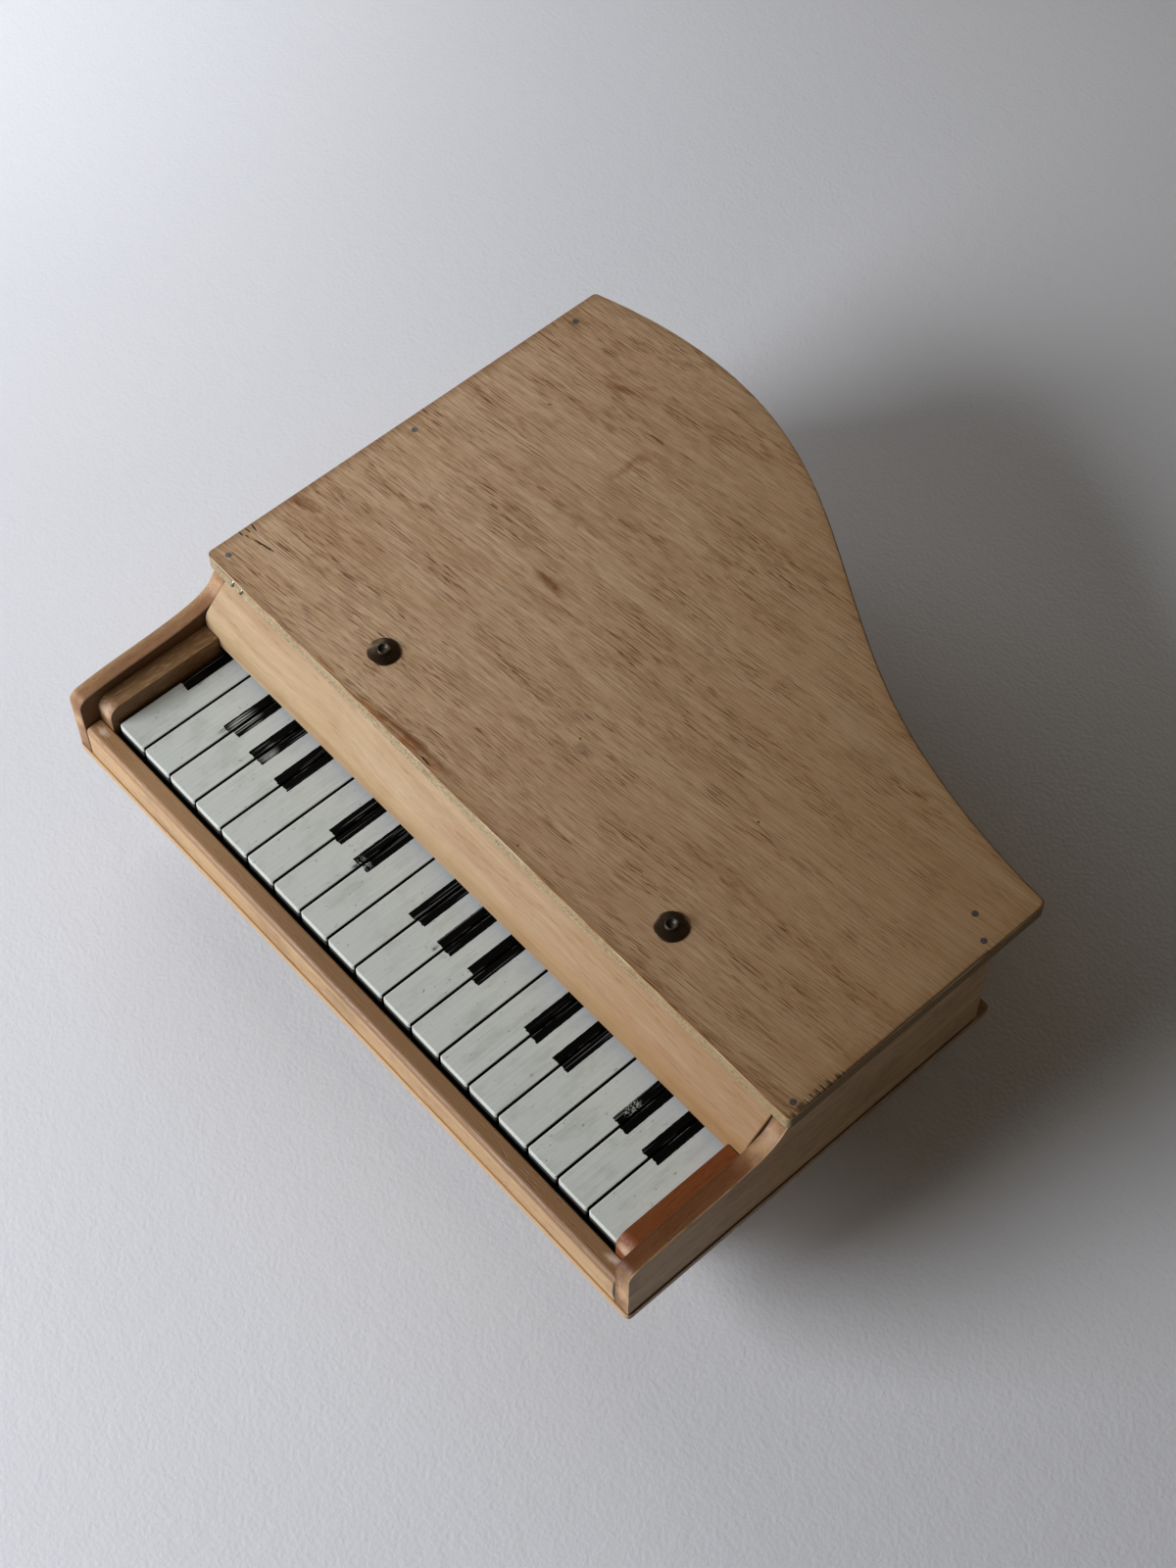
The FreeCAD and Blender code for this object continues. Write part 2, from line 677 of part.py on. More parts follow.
# Curved wall between the rear ends of the side boards
wall_out = tail_curve(inner, wall_right, wall_tail, floor_top)
wall_in = wall_out.translated(Vector(0, -size("bent_thick"), 0))
wall_ends = [
    Part.makeLine(wall_out.Vertexes[0].Point, wall_in.Vertexes[0].Point),
    Part.makeLine(wall_out.Vertexes[-1].Point, wall_in.Vertexes[-1].Point),
]
wall = outline([wall_out, wall_in] + wall_ends).extrude(Vector(0, 0, size("case_height")))
shaped("bent_side", wall.cut(nail_set))

# Fallboard: upright face over the keys, rounded nose, slope up to the lid
fall_left = size("fall_play") - inner
fall_front = front + size("fall_nose")
fall_low = keys_top + size("fall_lift")
fall_bend = keys_top + size("fall_bend")
fall_points = [
    Vector(fall_left, fall_front, fall_low),
    Vector(fall_left, fall_front, fall_bend),
    Vector(fall_left, front + size("fall_top"), roof),
    Vector(fall_left, front + size("fall_top") + size("fall_top_depth"), roof),
    Vector(fall_left, fall_front + size("fall_depth"), keys_top + size("fall_back_bend")),
    Vector(fall_left, fall_front + size("fall_depth"), fall_low),
]
fall = Part.Face(Part.makePolygon(fall_points + fall_points[:1])).extrude(Vector(-2 * fall_left, 0, 0))
nose = [edge for edge in fall.Edges if edge.BoundBox.YMax < fall_front + near and edge.BoundBox.ZMin > fall_bend - near]
fall = fall.makeFillet(size("fall_round"), nose)
lip = [edge for edge in fall.Edges if edge.BoundBox.YMax < fall_front + near and edge.BoundBox.ZMax < fall_low + near]
shaped("fallboard", fall.makeFillet(size("fall_edge"), lip))

doc.recompute()
for item in doc.Objects:
    if "Invalid" in item.State or "Error" in item.State:
        raise RuntimeError(f"{item.Label} did not build")
for name, item in pieces.items():
    if item.Shape.isNull() or not item.Shape.isValid():
        raise RuntimeError(f"{name} has no sound shape")

os.makedirs("parts", exist_ok=True)
for name, item in pieces.items():
    item.Shape.exportStep(f"parts/{name}.step")
print(len(pieces), "pieces written")
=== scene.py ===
import functools
import math
import bmesh
import bpy
from mathutils import Matrix, Vector, geometry


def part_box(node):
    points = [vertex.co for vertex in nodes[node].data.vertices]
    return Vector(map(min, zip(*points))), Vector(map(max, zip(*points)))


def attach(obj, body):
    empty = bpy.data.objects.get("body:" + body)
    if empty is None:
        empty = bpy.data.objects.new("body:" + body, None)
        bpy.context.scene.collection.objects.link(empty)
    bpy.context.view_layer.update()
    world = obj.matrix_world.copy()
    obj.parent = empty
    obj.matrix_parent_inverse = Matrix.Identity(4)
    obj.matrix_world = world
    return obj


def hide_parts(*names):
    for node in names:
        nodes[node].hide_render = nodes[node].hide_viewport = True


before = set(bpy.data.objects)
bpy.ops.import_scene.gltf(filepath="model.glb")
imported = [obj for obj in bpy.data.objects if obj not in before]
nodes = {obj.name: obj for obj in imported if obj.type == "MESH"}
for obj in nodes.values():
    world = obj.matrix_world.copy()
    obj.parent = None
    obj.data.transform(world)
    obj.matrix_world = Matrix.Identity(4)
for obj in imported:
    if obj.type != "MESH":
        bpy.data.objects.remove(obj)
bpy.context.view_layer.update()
scene = bpy.context.scene
mixing = {"pick": 2, "data_type": "RGBA"}  # a colour Mix node: socket 0 is the share, 6 and 7 the colours
print("frame loaded")


# sRGB hex to the linear values that shaders take
def linear(text):
    parts = [int(text[i:i + 2], 16) / 255 for i in (1, 3, 5)]
    return tuple(p / 12.92 if p <= 0.04045 else ((p + 0.055) / 1.055) ** 2.4 for p in parts) + (1.0,)


# mm to metres
def metres(sizes):
    return tuple(size / 1000 for size in sizes)


# the stretch over which a MapRange node rises from 0 to 1, in mm unless another unit is named
def between(start, end, unit=1000):
    return {"From Min": start / unit, "From Max": end / unit}


# one node with its settings, its links or constants by socket, and the output used next
def addNode(tree, kind, links, pick=0, **settings):
    node = tree.nodes.new("ShaderNode" + kind)
    for key, value in settings.items():
        setattr(node, key, value)
    for spot, value in links.items():
        if isinstance(value, bpy.types.NodeSocket):
            tree.links.new(value, node.inputs[spot])
        else:
            node.inputs[spot].default_value = linear(value) if isinstance(value, str) else value
    return node.outputs[pick]


# a fresh material with what the next steps need of it
def openMaterial(name):
    material = bpy.data.materials.new(name)
    material.use_nodes = True
    tree = material.node_tree
    add = functools.partial(addNode, tree)
    return {
        "material": material, "tree": tree, "add": add,
        "shader": tree.nodes["Principled BSDF"], "place": add("TexCoord", {}, pick=3)}


# colour, roughness and relief, its depth in mm, go to the shader
def closeMaterial(look, depth, shine=0.5):
    tree, shader = look["tree"], look["shader"]
    bump = look["add"]("Bump", {"Height": look["height"], "Strength": 1.0, "Distance": depth / 1000})
    for socket, value in (("Base Color", look["colour"]), ("Roughness", look["rough"]), ("Normal", bump)):
        tree.links.new(value, shader.inputs[socket])
    shader.inputs["Specular IOR Level"].default_value = shine
    return look["material"]


# noise cells of the given mm, along each axis or all ways alike, read between two levels as a mask;
# a shift keeps noises of one size from falling together
def streak(look, place, cell, levels, detail=2.0, rough=0.5, shift=0.0):
    add = look["add"]
    cells = cell if isinstance(cell, tuple) else (cell,) * 3
    spread = add("Mapping", {
        "Vector": place, "Scale": tuple(1000.0 / c for c in cells), "Location": (shift,) * 3})
    noise = add("TexNoise", {"Vector": spread, "Scale": 1.0, "Detail": detail, "Roughness": rough})
    return add("MapRange", {"Value": noise, **between(*levels, unit=1)})


# oval mark about a centre, in mm and degrees: 1 inside, fading out at the rim
def patch(look, place, centre, reach, turn, soft):
    add = look["add"]
    local = add("Mapping", {
        "Vector": place, "Location": metres(centre), "Scale": metres(reach),
        "Rotation": (0.0, 0.0, math.radians(turn))}, vector_type="TEXTURE")
    far = add("VectorMath", {0: local}, pick=1, operation="LENGTH")
    fade = between(1.0, 1.0 - soft, unit=1)
    return add("MapRange", {"Value": far, **fade}, interpolation_type="SMOOTHSTEP")


# places pushed about by fine noise, its size and push in mm, so that marks drawn there get ragged rims
def ragged(look, size, push):
    add = look["add"]
    noise = add("TexNoise", {"Vector": look["place"], "Scale": 1000.0 / size, "Detail": 3.0}, pick=1)
    centred = add("VectorMath", {0: noise, 1: (0.5, 0.5, 0.5)}, operation="SUBTRACT")
    reach = (2 * push / 1000,) * 3  # the centred noise goes half a unit each way
    return add("VectorMath", {0: centred, 1: reach, 2: look["place"]}, operation="MULTIPLY_ADD")


# several marks of one kind, each (centre, reach, turn, soft); rag is the size and push of ragged rims
def marked(look, group):
    place = ragged(look, *group["rag"]) if "rag" in group else look["place"]
    total = None
    for centre, reach, turn, soft in group["marks"]:
        one = patch(look, place, centre, reach, turn, soft)
        total = one if total is None else look["add"]("Math", {0: total, 1: one}, operation="MAXIMUM")
    return total


# lays a shade over what the material has so far; a coat is its share and shade
def overlay(look, mask, share, shade):
    part = look["add"]("Math", {0: mask, 1: share}, operation="MULTIPLY")
    look["colour"] = look["add"]("Mix", {0: part, 6: look["colour"], 7: shade}, **mixing)


def paintMarks(look, group):
    mask = marked(look, group)
    overlay(look, mask, *group["coat"])
    return mask


# a coat that comes in along one axis, over the stretch of mm that its zone names
def paintZone(look, value, zone):
    mask = look["add"]("MapRange", {"Value": value, **between(*zone["reach"])})
    overlay(look, mask, *zone["coat"])


# noise levels and relief that all boards share; their sizes along and across the grain are each wood's own
grain = {
    "drift": 90.909,  # mm
    "tone": (0.32, 0.68), "figure": (0.42, 0.66), "fibre": (0.36, 0.64), "gleam": (0.58, 0.66),
    "poreFade": 0.05, "poreLeast": 0.45, "relief": 0.4, "roughSpread": 0.07,
    "dirt": {"cell": 16.0, "levels": (0.52, 0.75), "detail": 5.0, "rough": 0.6, "shift": 1.9},
}


# the build-up of a board: broad tone, growth figure, dark fibre, pale dashes of painted sheen, handling dirt,
# open pores
def startWood(name, wood):
    look = openMaterial(name)
    add, place = look["add"], look["place"]
    along = "XYZ".index(wood["axis"])

    def cell(length, width):
        return tuple(length if axis == along else width for axis in range(3))

    drift = add("TexNoise", {"Vector": place, "Scale": 1000.0 / grain["drift"], "Detail": 1.0}, pick=1)
    sway = tuple(0.0 if axis == along else wood["bend"] / 1000 for axis in range(3))
    bent = add("VectorMath", {0: drift, 1: sway, 2: place}, operation="MULTIPLY_ADD")
    bent = add("Mapping", {"Vector": bent, "Rotation": (0.0, 0.0, math.radians(-wood["turn"]))})
    tone = streak(look, bent, cell(*wood["tone"]), grain["tone"], detail=3.0)
    figure = streak(look, bent, cell(*wood["figure"]), grain["figure"], detail=3.0, shift=3.7)
    fibre = streak(look, bent, cell(*wood["fibre"]), grain["fibre"], detail=3.0, rough=0.6)
    # painted sheen: pale dashes the size of pores, a glint painted into the colour
    gleam = streak(look, bent, cell(*wood["pore"]), grain["gleam"], detail=1.0, shift=9.1)
    poreLevels = (wood["poreCut"], wood["poreCut"] + grain["poreFade"])
    dash = streak(look, bent, cell(*wood["pore"]), poreLevels, detail=1.0, shift=5.3)
    crowd = add("MapRange", {"Value": figure, "To Min": grain["poreLeast"]})
    pore = add("Math", {0: dash, 1: crowd}, operation="MULTIPLY")
    dirt = streak(look, place, **grain["dirt"])
    look["colour"] = add("Mix", {0: tone, 6: wood["light"], 7: wood["dark"]}, **mixing)
    for mask, coat in ((figure, "warm"), (fibre, "line"), (gleam, "gleam"), (dirt, "dirt"), (pore, "pit")):
        overlay(look, mask, *wood[coat])
    relief = add("Math", {0: fibre, 1: grain["relief"]}, operation="MULTIPLY")
    smoothest, roughest = wood["rough"] - grain["roughSpread"], wood["rough"] + grain["roughSpread"]
    look.update({
        "bent": bent, "fibre": fibre, "pore": pore,
        "rough": add("MapRange", {"Value": fibre, "To Min": smoothest, "To Max": roughest}),
        "height": add("Math", {0: relief, 1: pore}, operation="SUBTRACT")})
    return look


easing = {"merge": 0.02, "flat": 0.5, "sharp": 38.0}  # mm, then degrees


# a CAD board with its edges eased, as hands and sandpaper leave them
def softCopy(nodeName, ease, segments):
    work = bmesh.new()
    work.from_mesh(nodes[nodeName].data)
    bmesh.ops.remove_doubles(work, verts=work.verts, dist=easing["merge"] / 1000)
    bmesh.ops.dissolve_limit(
        work, angle_limit=math.radians(easing["flat"]), verts=work.verts, edges=work.edges)
    bmesh.ops.recalc_face_normals(work, faces=work.faces)
    corner = math.radians(easing["sharp"])
    sharp = [e for e in work.edges if e.is_manifold and e.calc_face_angle() > corner]
    bmesh.ops.bevel(
        work, geom=sharp, offset=ease / 1000, offset_type="OFFSET", affect="EDGES", segments=segments,
        profile=0.5, material=-1, clamp_overlap=True)
    return work


# the finished mesh becomes an object, and rides on its body
def makePiece(work, name, body, materials):
    for face in work.faces:
        face.smooth = True
    mesh = bpy.data.meshes.new(name)
    work.to_mesh(mesh)
    work.free()
    piece = bpy.data.objects.new(name, mesh)
    scene.collection.objects.link(piece)
    for material in materials:
        mesh.materials.append(material)
    evened = piece.modifiers.new("evenNormals", "WEIGHTED_NORMAL")
    evened.keep_sharp = True
    if body:
        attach(piece, body)
    return piece


def standFor(piece, nodeName):
    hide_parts(nodeName)


# the eased copy of a board stands for its CAD node
def easedBoard(nodeName, name, material, wood):
    work = softCopy(nodeName, wood["ease"], wood["segments"])
    standFor(makePiece(work, name, "case", [material]), nodeName)


# CAD nodes that keep their own mesh get a material
def paintNodes(names, material):
    for name in names:
        data = nodes[name].data
        data.materials.clear()
        data.materials.append(material)


# how an object stands at one spot and looks along its own -Z at another, rolled by some degrees
def aimed(spot, target, roll=0.0):
    facing = (Vector(target) - Vector(spot)).to_track_quat("-Z", "Y").to_matrix().to_4x4()
    return Matrix.Translation(spot) @ facing @ Matrix.Rotation(math.radians(roll), 4, "Z")


# Camera at the photo's viewing angle, one soft lamp from the front left and two weak cards;
# places in metres, lens and sensor in mm
studio = {
    "eye": (0.38084, -0.35642, 0.8656), "aim": (-0.000804, -0.015539, 0.06), "roll": -0.0913,
    "lens": 61.417, "sensor": 36.0, "nearest": 0.05,
    "lamps": (  # name, place, aim, size, watts, spread in degrees, tint
        ("windowLamp", (-0.48, -1.18, 0.64), (0.0, 0.0, 0.06), (0.85, 0.62), 25.0, 180.0, "#FAFBFF"),
        ("bounceCard", (-0.64, 0.1, 0.34), (-0.36, 0.1, 0.0), (0.4, 0.3), 1.2, 180.0, "#FAFBFF"),
        ("rearCard", (-0.25, 2.4, 0.12), (0.0, 0.1, 0.06), (1.6, 0.18), 1.25, 40.0, "#F4E3BC")),
    "fill": 0.07, "fillShade": "#F7E5CB",
}
sight = bpy.data.cameras.new("studioCamera")
sight.lens = studio["lens"]
sight.sensor_fit = "VERTICAL"
sight.sensor_height = studio["sensor"]
sight.clip_start = studio["nearest"]
sight.dof.use_dof = False
camera = bpy.data.objects.new("studioCamera", sight)
camera.matrix_world = aimed(studio["eye"], studio["aim"], studio["roll"])
scene.collection.objects.link(camera)
scene.camera = camera

for name, spot, target, wide, power, spread, tint in studio["lamps"]:
    glow = bpy.data.lights.new(name, "AREA")
    glow.shape = "RECTANGLE"
    glow.size, glow.size_y = wide
    glow.energy = power
    glow.spread = math.radians(spread)
    glow.color = linear(tint)[:3]
    lamp = bpy.data.objects.new(name, glow)
    lamp.matrix_world = aimed(spot, target)
    lamp.visible_camera = False
    scene.collection.objects.link(lamp)

world = bpy.data.worlds.new("studioFill")
scene.world = world
world.use_nodes = True
world.node_tree.nodes["Background"].inputs["Color"].default_value = linear(studio["fillShade"])
world.node_tree.nodes["Background"].inputs["Strength"].default_value = studio["fill"]
scene.view_settings.view_transform = "Standard"

# Floor: wall paint rolled on a board, bluish white, fine roller stipple and a few fatter lumps
floorLook = {
    "reach": 4.0, "drop": 0.05, "squares": 8,  # reach and drop in metres
    "stipple": {"cell": 1.7, "levels": (0.25, 0.75)},
    "lumps": {"cell": 7.0, "levels": (0.3, 0.7), "shift": 4.0}, "lumpShare": 0.7,
    "cloud": {"cell": 330.0, "levels": (0.3, 0.7), "detail": 3.0, "shift": 8.0},
    "light": "#DEE0E5", "dark": "#D8DBE0", "rough": (0.62, 0.75), "depth": 0.075,
}
look = openMaterial("rolledWhitePaint")
add, place = look["add"], look["place"]
stipple = streak(look, place, **floorLook["stipple"])
lumps = streak(look, place, **floorLook["lumps"])
lumps = add("Math", {0: lumps, 1: floorLook["lumpShare"]}, operation="MULTIPLY")
cloud = streak(look, place, **floorLook["cloud"])
smoothest, roughest = floorLook["rough"]
look.update({
    "colour": add("Mix", {0: cloud, 6: floorLook["light"], 7: floorLook["dark"]}, **mixing),
    "height": add("Math", {0: stipple, 1: lumps}, operation="ADD"),
    "rough": add("MapRange", {"Value": stipple, "To Min": smoothest, "To Max": roughest})})
floorPaint = closeMaterial(look, floorLook["depth"])
work = bmesh.new()
bmesh.ops.create_grid(
    work, x_segments=floorLook["squares"], y_segments=floorLook["squares"], size=floorLook["reach"])
bmesh.ops.extrude_edge_only(work, edges=[e for e in work.edges if e.is_boundary])
bmesh.ops.translate(work, verts=[v for v in work.verts if v.is_boundary], vec=(0.0, 0.0, -floorLook["drop"]))
bmesh.ops.recalc_face_normals(work, faces=work.faces)
floor = makePiece(work, "studioFloor", None, [floorPaint])
print("studio ready")

# Lid: rotary-cut lauan plywood, bare, handled, its face veneer worn at the rim
lidWood = {
    "ease": 0.6, "segments": 3, "step": 4.0, "rim": 3.6, "tailFrom": 45.0, "wallsFrom": 50.0,
    "axis": "X", "turn": 6.0, "bend": 4.0, "tone": (120.0, 7.0), "figure": (40.0, 9.0), "fibre": (34.0, 0.6),
    "pore": (8.8, 0.36), "poreCut": 0.566,  # pores are 0.2 to 0.3 mm wide, drawn a little wider to show
    "light": "#D1B594", "dark": "#C3A382", "warm": (0.2, "#976940"), "line": (0.55, "#9E754A"),
    "gleam": (0.4, "#D9C19C"), "dirt": (0.35, "#8A6A48"), "pit": (0.82, "#5A2B08"),
    "rough": 0.62, "depth": 0.08, "shine": 0.15,  # bare veneer hardly shines
    "nibble": {"cell": (9.0, 1.4, 1.4), "levels": (0.3, 0.7), "detail": 3.0, "shift": 2.2},
    "nibbleLeast": 0.4, "worn": (0.6, "#6F4B25"),
    # painted shade: a dark line on the eased rim of the tail and right end, turned from the lamp; none in
    # front or left
    "rimShadeLevels": (0.82, 0.96), "rimShadeAcross": (-100.0, 0.0), "rimShadeAlong": (-62.0, -58.0), "rimShade": (0.85, "#2A1C0D"),
    # painted shade: darker and browner towards the rear right, for the lamp's light falling off there; the
    # pores stay dark
    "falloffShadeWay": (0.85, 0.53, 0.0), "falloffShadeReach": (-100.0, 130.0), "falloffShadePores": 0.75, "falloffShade": (0.66, "#80603A"),
    "stains": {"rag": (6.0, 3.0), "coat": (0.65, "#80572F"), "marks": (
        ((-79.2, 76.4, 92.4), (16.0, 3.2, 2.0), 82.0, 1.0),
        ((-58.5, 17.6, 92.4), (12.0, 4.0, 2.0), -2.0, 1.0))},
    "smears": {"rag": (5.0, 1.8), "coat": (0.45, "#7E4B1E"), "marks": (
        ((-145.0, -25.4, 92.4), (9.0, 3.0, 2.0), 18.0, 0.7),
        ((-58.5, 17.6, 92.4), (11.0, 2.0, 2.0), -2.0, 0.9),
        ((-108.0, 98.4, 92.4), (12.0, 2.8, 2.0), 24.0, 0.9),
        ((-38.0, -62.5, 92.4), (34.0, 2.4, 2.0), 2.0, 0.9))},
    "smearThreads": (0.75, "#5E310C"),
    "specks": {"rag": (1.5, 0.3), "coat": (0.85, "#4A2A17"), "marks": (
        ((64.6, 3.6, 92.4), (0.75, 0.6, 1.0), 0.0, 0.5),
        ((-1.1, -18.9, 92.4), (0.7, 0.5, 1.0), 0.0, 0.6),
        ((-121.2, 73.0, 92.4), (1.1, 0.45, 1.0), 30.0, 0.5),
        ((17.1, -63.2, 92.4), (0.5, 0.5, 1.0), 0.0, 0.5))},
    "tears": {"rag": (2.5, 0.7), "coat": (0.85, "#9A5A26"), "marks": (
        ((-58.0, -64.9, 92.2), (12.0, 0.7, 1.5), 0.0, 0.7),
        ((-40.0, -64.7, 92.2), (9.0, 0.9, 1.5), 1.0, 0.7),
        ((-28.0, -64.3, 92.2), (6.5, 0.7, 1.5), 2.0, 0.7),
        ((-84.0, -64.8, 92.2), (7.0, 0.6, 1.5), 0.0, 0.7))},
    "splits": {"rag": (2.0, 0.5), "coat": (0.95, "#22160C"), "marks": (
        ((-30.0, -64.5, 92.4), (3.6, 0.45, 1.5), 2.0, 0.5),
        ((-140.0, -48.3, 92.4), (5.8, 0.5, 1.5), 12.0, 0.4),
        ((-149.5, -46.0, 92.4), (2.8, 0.4, 1.5), -9.0, 0.5),
        ((-150.2, -51.2, 92.4), (1.6, 0.4, 1.5), 4.0, 0.6),
        ((-147.8, -50.4, 92.4), (1.3, 0.35, 1.5), 4.0, 0.6),
        ((-149.8, -48.6, 92.4), (1.8, 0.35, 1.5), 2.0, 0.6))},
    "tornAndShade": {"coat": (0.9, "#453523"), "marks": (((152.6, -53.0, 92.0), (4.4, 17.0, 6.0), 0.0, 0.35),)},
    "teeth": {"cell": (14.0, 1.3, 3.0), "levels": (0.42, 0.56), "detail": 1.0, "shift": 6.0},
    "cutDepth": 3.0,  # splits and torn fibres, in pore depths
}
look = startWood("lauanVeneerBare", lidWood)
add, place = look["add"], look["place"]
axes = add("SeparateXYZ", {0: place}).node.outputs
rim = add("Attribute", {}, pick=2, attribute_name="rim")
nibble = streak(look, look["bent"], **lidWood["nibble"])
nibble = add("MapRange", {"Value": nibble, "To Min": lidWood["nibbleLeast"]})
worn = add("Math", {0: rim, 1: nibble}, operation="MULTIPLY")
overlay(look, worn, *lidWood["worn"])
# painted shade along the rim of the tail and the right end, away from the lamp
rimShade = add("MapRange", {"Value": rim, **between(*lidWood["rimShadeLevels"], unit=1)})
for value, reach in ((axes[0], lidWood["rimShadeAcross"]), (axes[1], lidWood["rimShadeAlong"])):
    limit = add("MapRange", {"Value": value, **between(*reach)})
    rimShade = add("Math", {0: rimShade, 1: limit}, operation="MULTIPLY")
# painted shade: darker towards the rear right, where the lamp's light falls off
rearRight = add("VectorMath", {0: place, 1: lidWood["falloffShadeWay"]}, pick=1, operation="DOT_PRODUCT")
falloffShade = add("MapRange", {"Value": rearRight, **between(*lidWood["falloffShadeReach"])})
aroundPores = add("Math", {0: look["pore"], 1: -lidWood["falloffShadePores"], 2: 1.0}, operation="MULTIPLY_ADD")
falloffShade = add("Math", {0: falloffShade, 1: aroundPores}, operation="MULTIPLY")
overlay(look, falloffShade, *lidWood["falloffShade"])
paintMarks(look, lidWood["stains"])
smear = paintMarks(look, lidWood["smears"])
thread = add("Math", {0: smear, 1: look["fibre"]}, operation="MULTIPLY")
overlay(look, thread, *lidWood["smearThreads"])
paintMarks(look, lidWood["specks"])
paintMarks(look, lidWood["tears"])
split = paintMarks(look, lidWood["splits"])
# torn veneer at the right end: the tears are real, the lower ply they bare is painted dark as shade
teeth = streak(look, look["bent"], **lidWood["teeth"])
tornAndShade = add("Math", {0: marked(look, lidWood["tornAndShade"]), 1: teeth}, operation="MULTIPLY")
overlay(look, tornAndShade, *lidWood["tornAndShade"]["coat"])
overlay(look, rimShade, *lidWood["rimShade"])
cuts = add("Math", {0: split, 1: tornAndShade}, operation="ADD")
cuts = add("Math", {0: cuts, 1: lidWood["cutDepth"]}, operation="MULTIPLY")
look["height"] = add("Math", {0: look["height"], 1: cuts}, operation="SUBTRACT")
lidVeneer = closeMaterial(look, lidWood["depth"], lidWood["shine"])

# sawn ply edge: pale coarse core in front, painted shade on the edges turned from the lamp, darker to the
# right, an orange veneer line on top
edgeWood = {
    **lidWood, "turn": 0.0, "tone": (30.0, 2.2), "figure": (20.0, 1.6), "fibre": (1.3, 0.6),
    "pore": (1.1, 0.7), "poreCut": 0.56, "light": "#B3A283", "dark": "#A39275", "warm": (0.3, "#937F60"),
    "line": (0.45, "#85735A"), "gleam": (0.5, "#CDBFA2"), "pit": (0.6, "#66543C"),
    "rough": 0.75, "depth": 0.2, "shine": 0.2,  # open end grain hardly shines
    "awayFromLampShade": {"reach": (-65.5, -64.0), "coat": (0.82, "#573C1D")},
    "darkerRightward": {"reach": (-20.0, 140.0), "coat": (0.55, "#86714F")},
    "skin": (91.7, 92.1), "skinShare": 0.85, "skinShades": ("#CBB189", "#9C6A38"),
    "wave": {"cell": 40.0, "levels": (0.2, 0.8), "shift": 7.0}, "waveHeight": 1.0,
    "peel": {"cell": 22.0, "levels": (0.42, 0.58), "shift": 5.0},
    "gape": {"rag": (2.0, 0.4), "coat": (0.85, "#3A2615"), "marks": (
        ((-142.0, -66.2, 90.9), (9.0, 1.5, 0.45), 0.0, 0.5),)},
}
look = startWood("sawnPlyEdge", edgeWood)
add, place = look["add"], look["place"]
axes = add("SeparateXYZ", {0: place}).node.outputs
# painted shade on every edge but the front one, which faces the lamp
paintZone(look, axes[1], edgeWood["awayFromLampShade"])
paintZone(look, axes[0], edgeWood["darkerRightward"])
wave = streak(look, place, **edgeWood["wave"])
lift = add("Math", {0: wave, 1: edgeWood["waveHeight"] / 1000, 2: axes[2]}, operation="MULTIPLY_ADD")
skin = add("MapRange", {"Value": lift, **between(*edgeWood["skin"])})
peel = streak(look, place, **edgeWood["peel"])
fresh, peeled = edgeWood["skinShades"]
overlay(look, skin, edgeWood["skinShare"], add("Mix", {0: peel, 6: fresh, 7: peeled}, **mixing))
paintMarks(look, edgeWood["gape"])
plyEdge = closeMaterial(look, edgeWood["depth"], edgeWood["shine"])

# the tail's walls, as spans of the lid's outline
lidLow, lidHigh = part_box("lid")
lidMesh = nodes["lid"].data
tailSpans = []
for wall in lidMesh.polygons:
    if abs(wall.normal.z) < 0.1 and wall.center.y > lidWood["wallsFrom"] / 1000:  # upright ones
        corners = [lidMesh.vertices[i].co for i in wall.vertices]
        tops = [Vector((c.x, c.y, 0.0)) for c in corners if c.z > lidHigh.z - 0.0001]
        if len(tops) == 2:
            tailSpans.append(tops)


# mm from a point of the lid to the nearest edge, straight sides or tail curve
def toRim(point):
    gaps = [abs(point.x - lidLow.x), abs(point.x - lidHigh.x), abs(point.y - lidLow.y)]
    if point.y > lidWood["tailFrom"] / 1000:
        flat = Vector((point.x, point.y, 0.0))
        for start, end in tailSpans:
            share = geometry.intersect_point_line(flat, start, end)[1]
            gaps.append((start.lerp(end, min(max(share, 0.0), 1.0)) - flat).length)
    return min(gaps) * 1000


work = softCopy("lid", lidWood["ease"], lidWood["segments"])
for axis, normal in enumerate((Vector((1.0, 0.0, 0.0)), Vector((0.0, 1.0, 0.0)))):
    for cut in range(1, int((lidHigh[axis] - lidLow[axis]) * 1000 / lidWood["step"])):
        bmesh.ops.bisect_plane(
            work, geom=work.verts[:] + work.edges[:] + work.faces[:], dist=0.000001,
            plane_co=lidLow + normal * cut * lidWood["step"] / 1000, plane_no=normal)
layer = work.verts.layers.float.new("rim")
for vert in work.verts:
    vert[layer] = max(0.0, 1.0 - toRim(vert.co) / lidWood["rim"])
for face in work.faces:
    face.material_index = 0 if abs(face.normal.z) > 0.5 else 1  # veneer on the flats, ply round the sides
lidBoard = makePiece(work, "lidBoard", "case", [lidVeneer, plyEdge])
standFor(lidBoard, "lid")
print("lid ready")

# beech, for all the other boards but the fallboard: short fine flecks on a warm even ground
beech = {
    "segments": 3, "axis": "Y", "turn": 0.0, "bend": 3.0,
    "tone": (150.0, 7.0), "figure": (60.0, 6.0), "fibre": (24.0, 0.6), "pore": (5.0, 0.55), "poreCut": 0.61,
    "light": "#B9976E", "dark": "#A4825A", "warm": (0.4, "#8F6C48"), "line": (0.42, "#7E603E"),
    "gleam": (0.25, "#C9AB83"), "dirt": (0.5, "#6E5338"), "pit": (0.55, "#5A3F26"),
    "rough": 0.5, "depth": 0.08, "shine": 0.5,
}
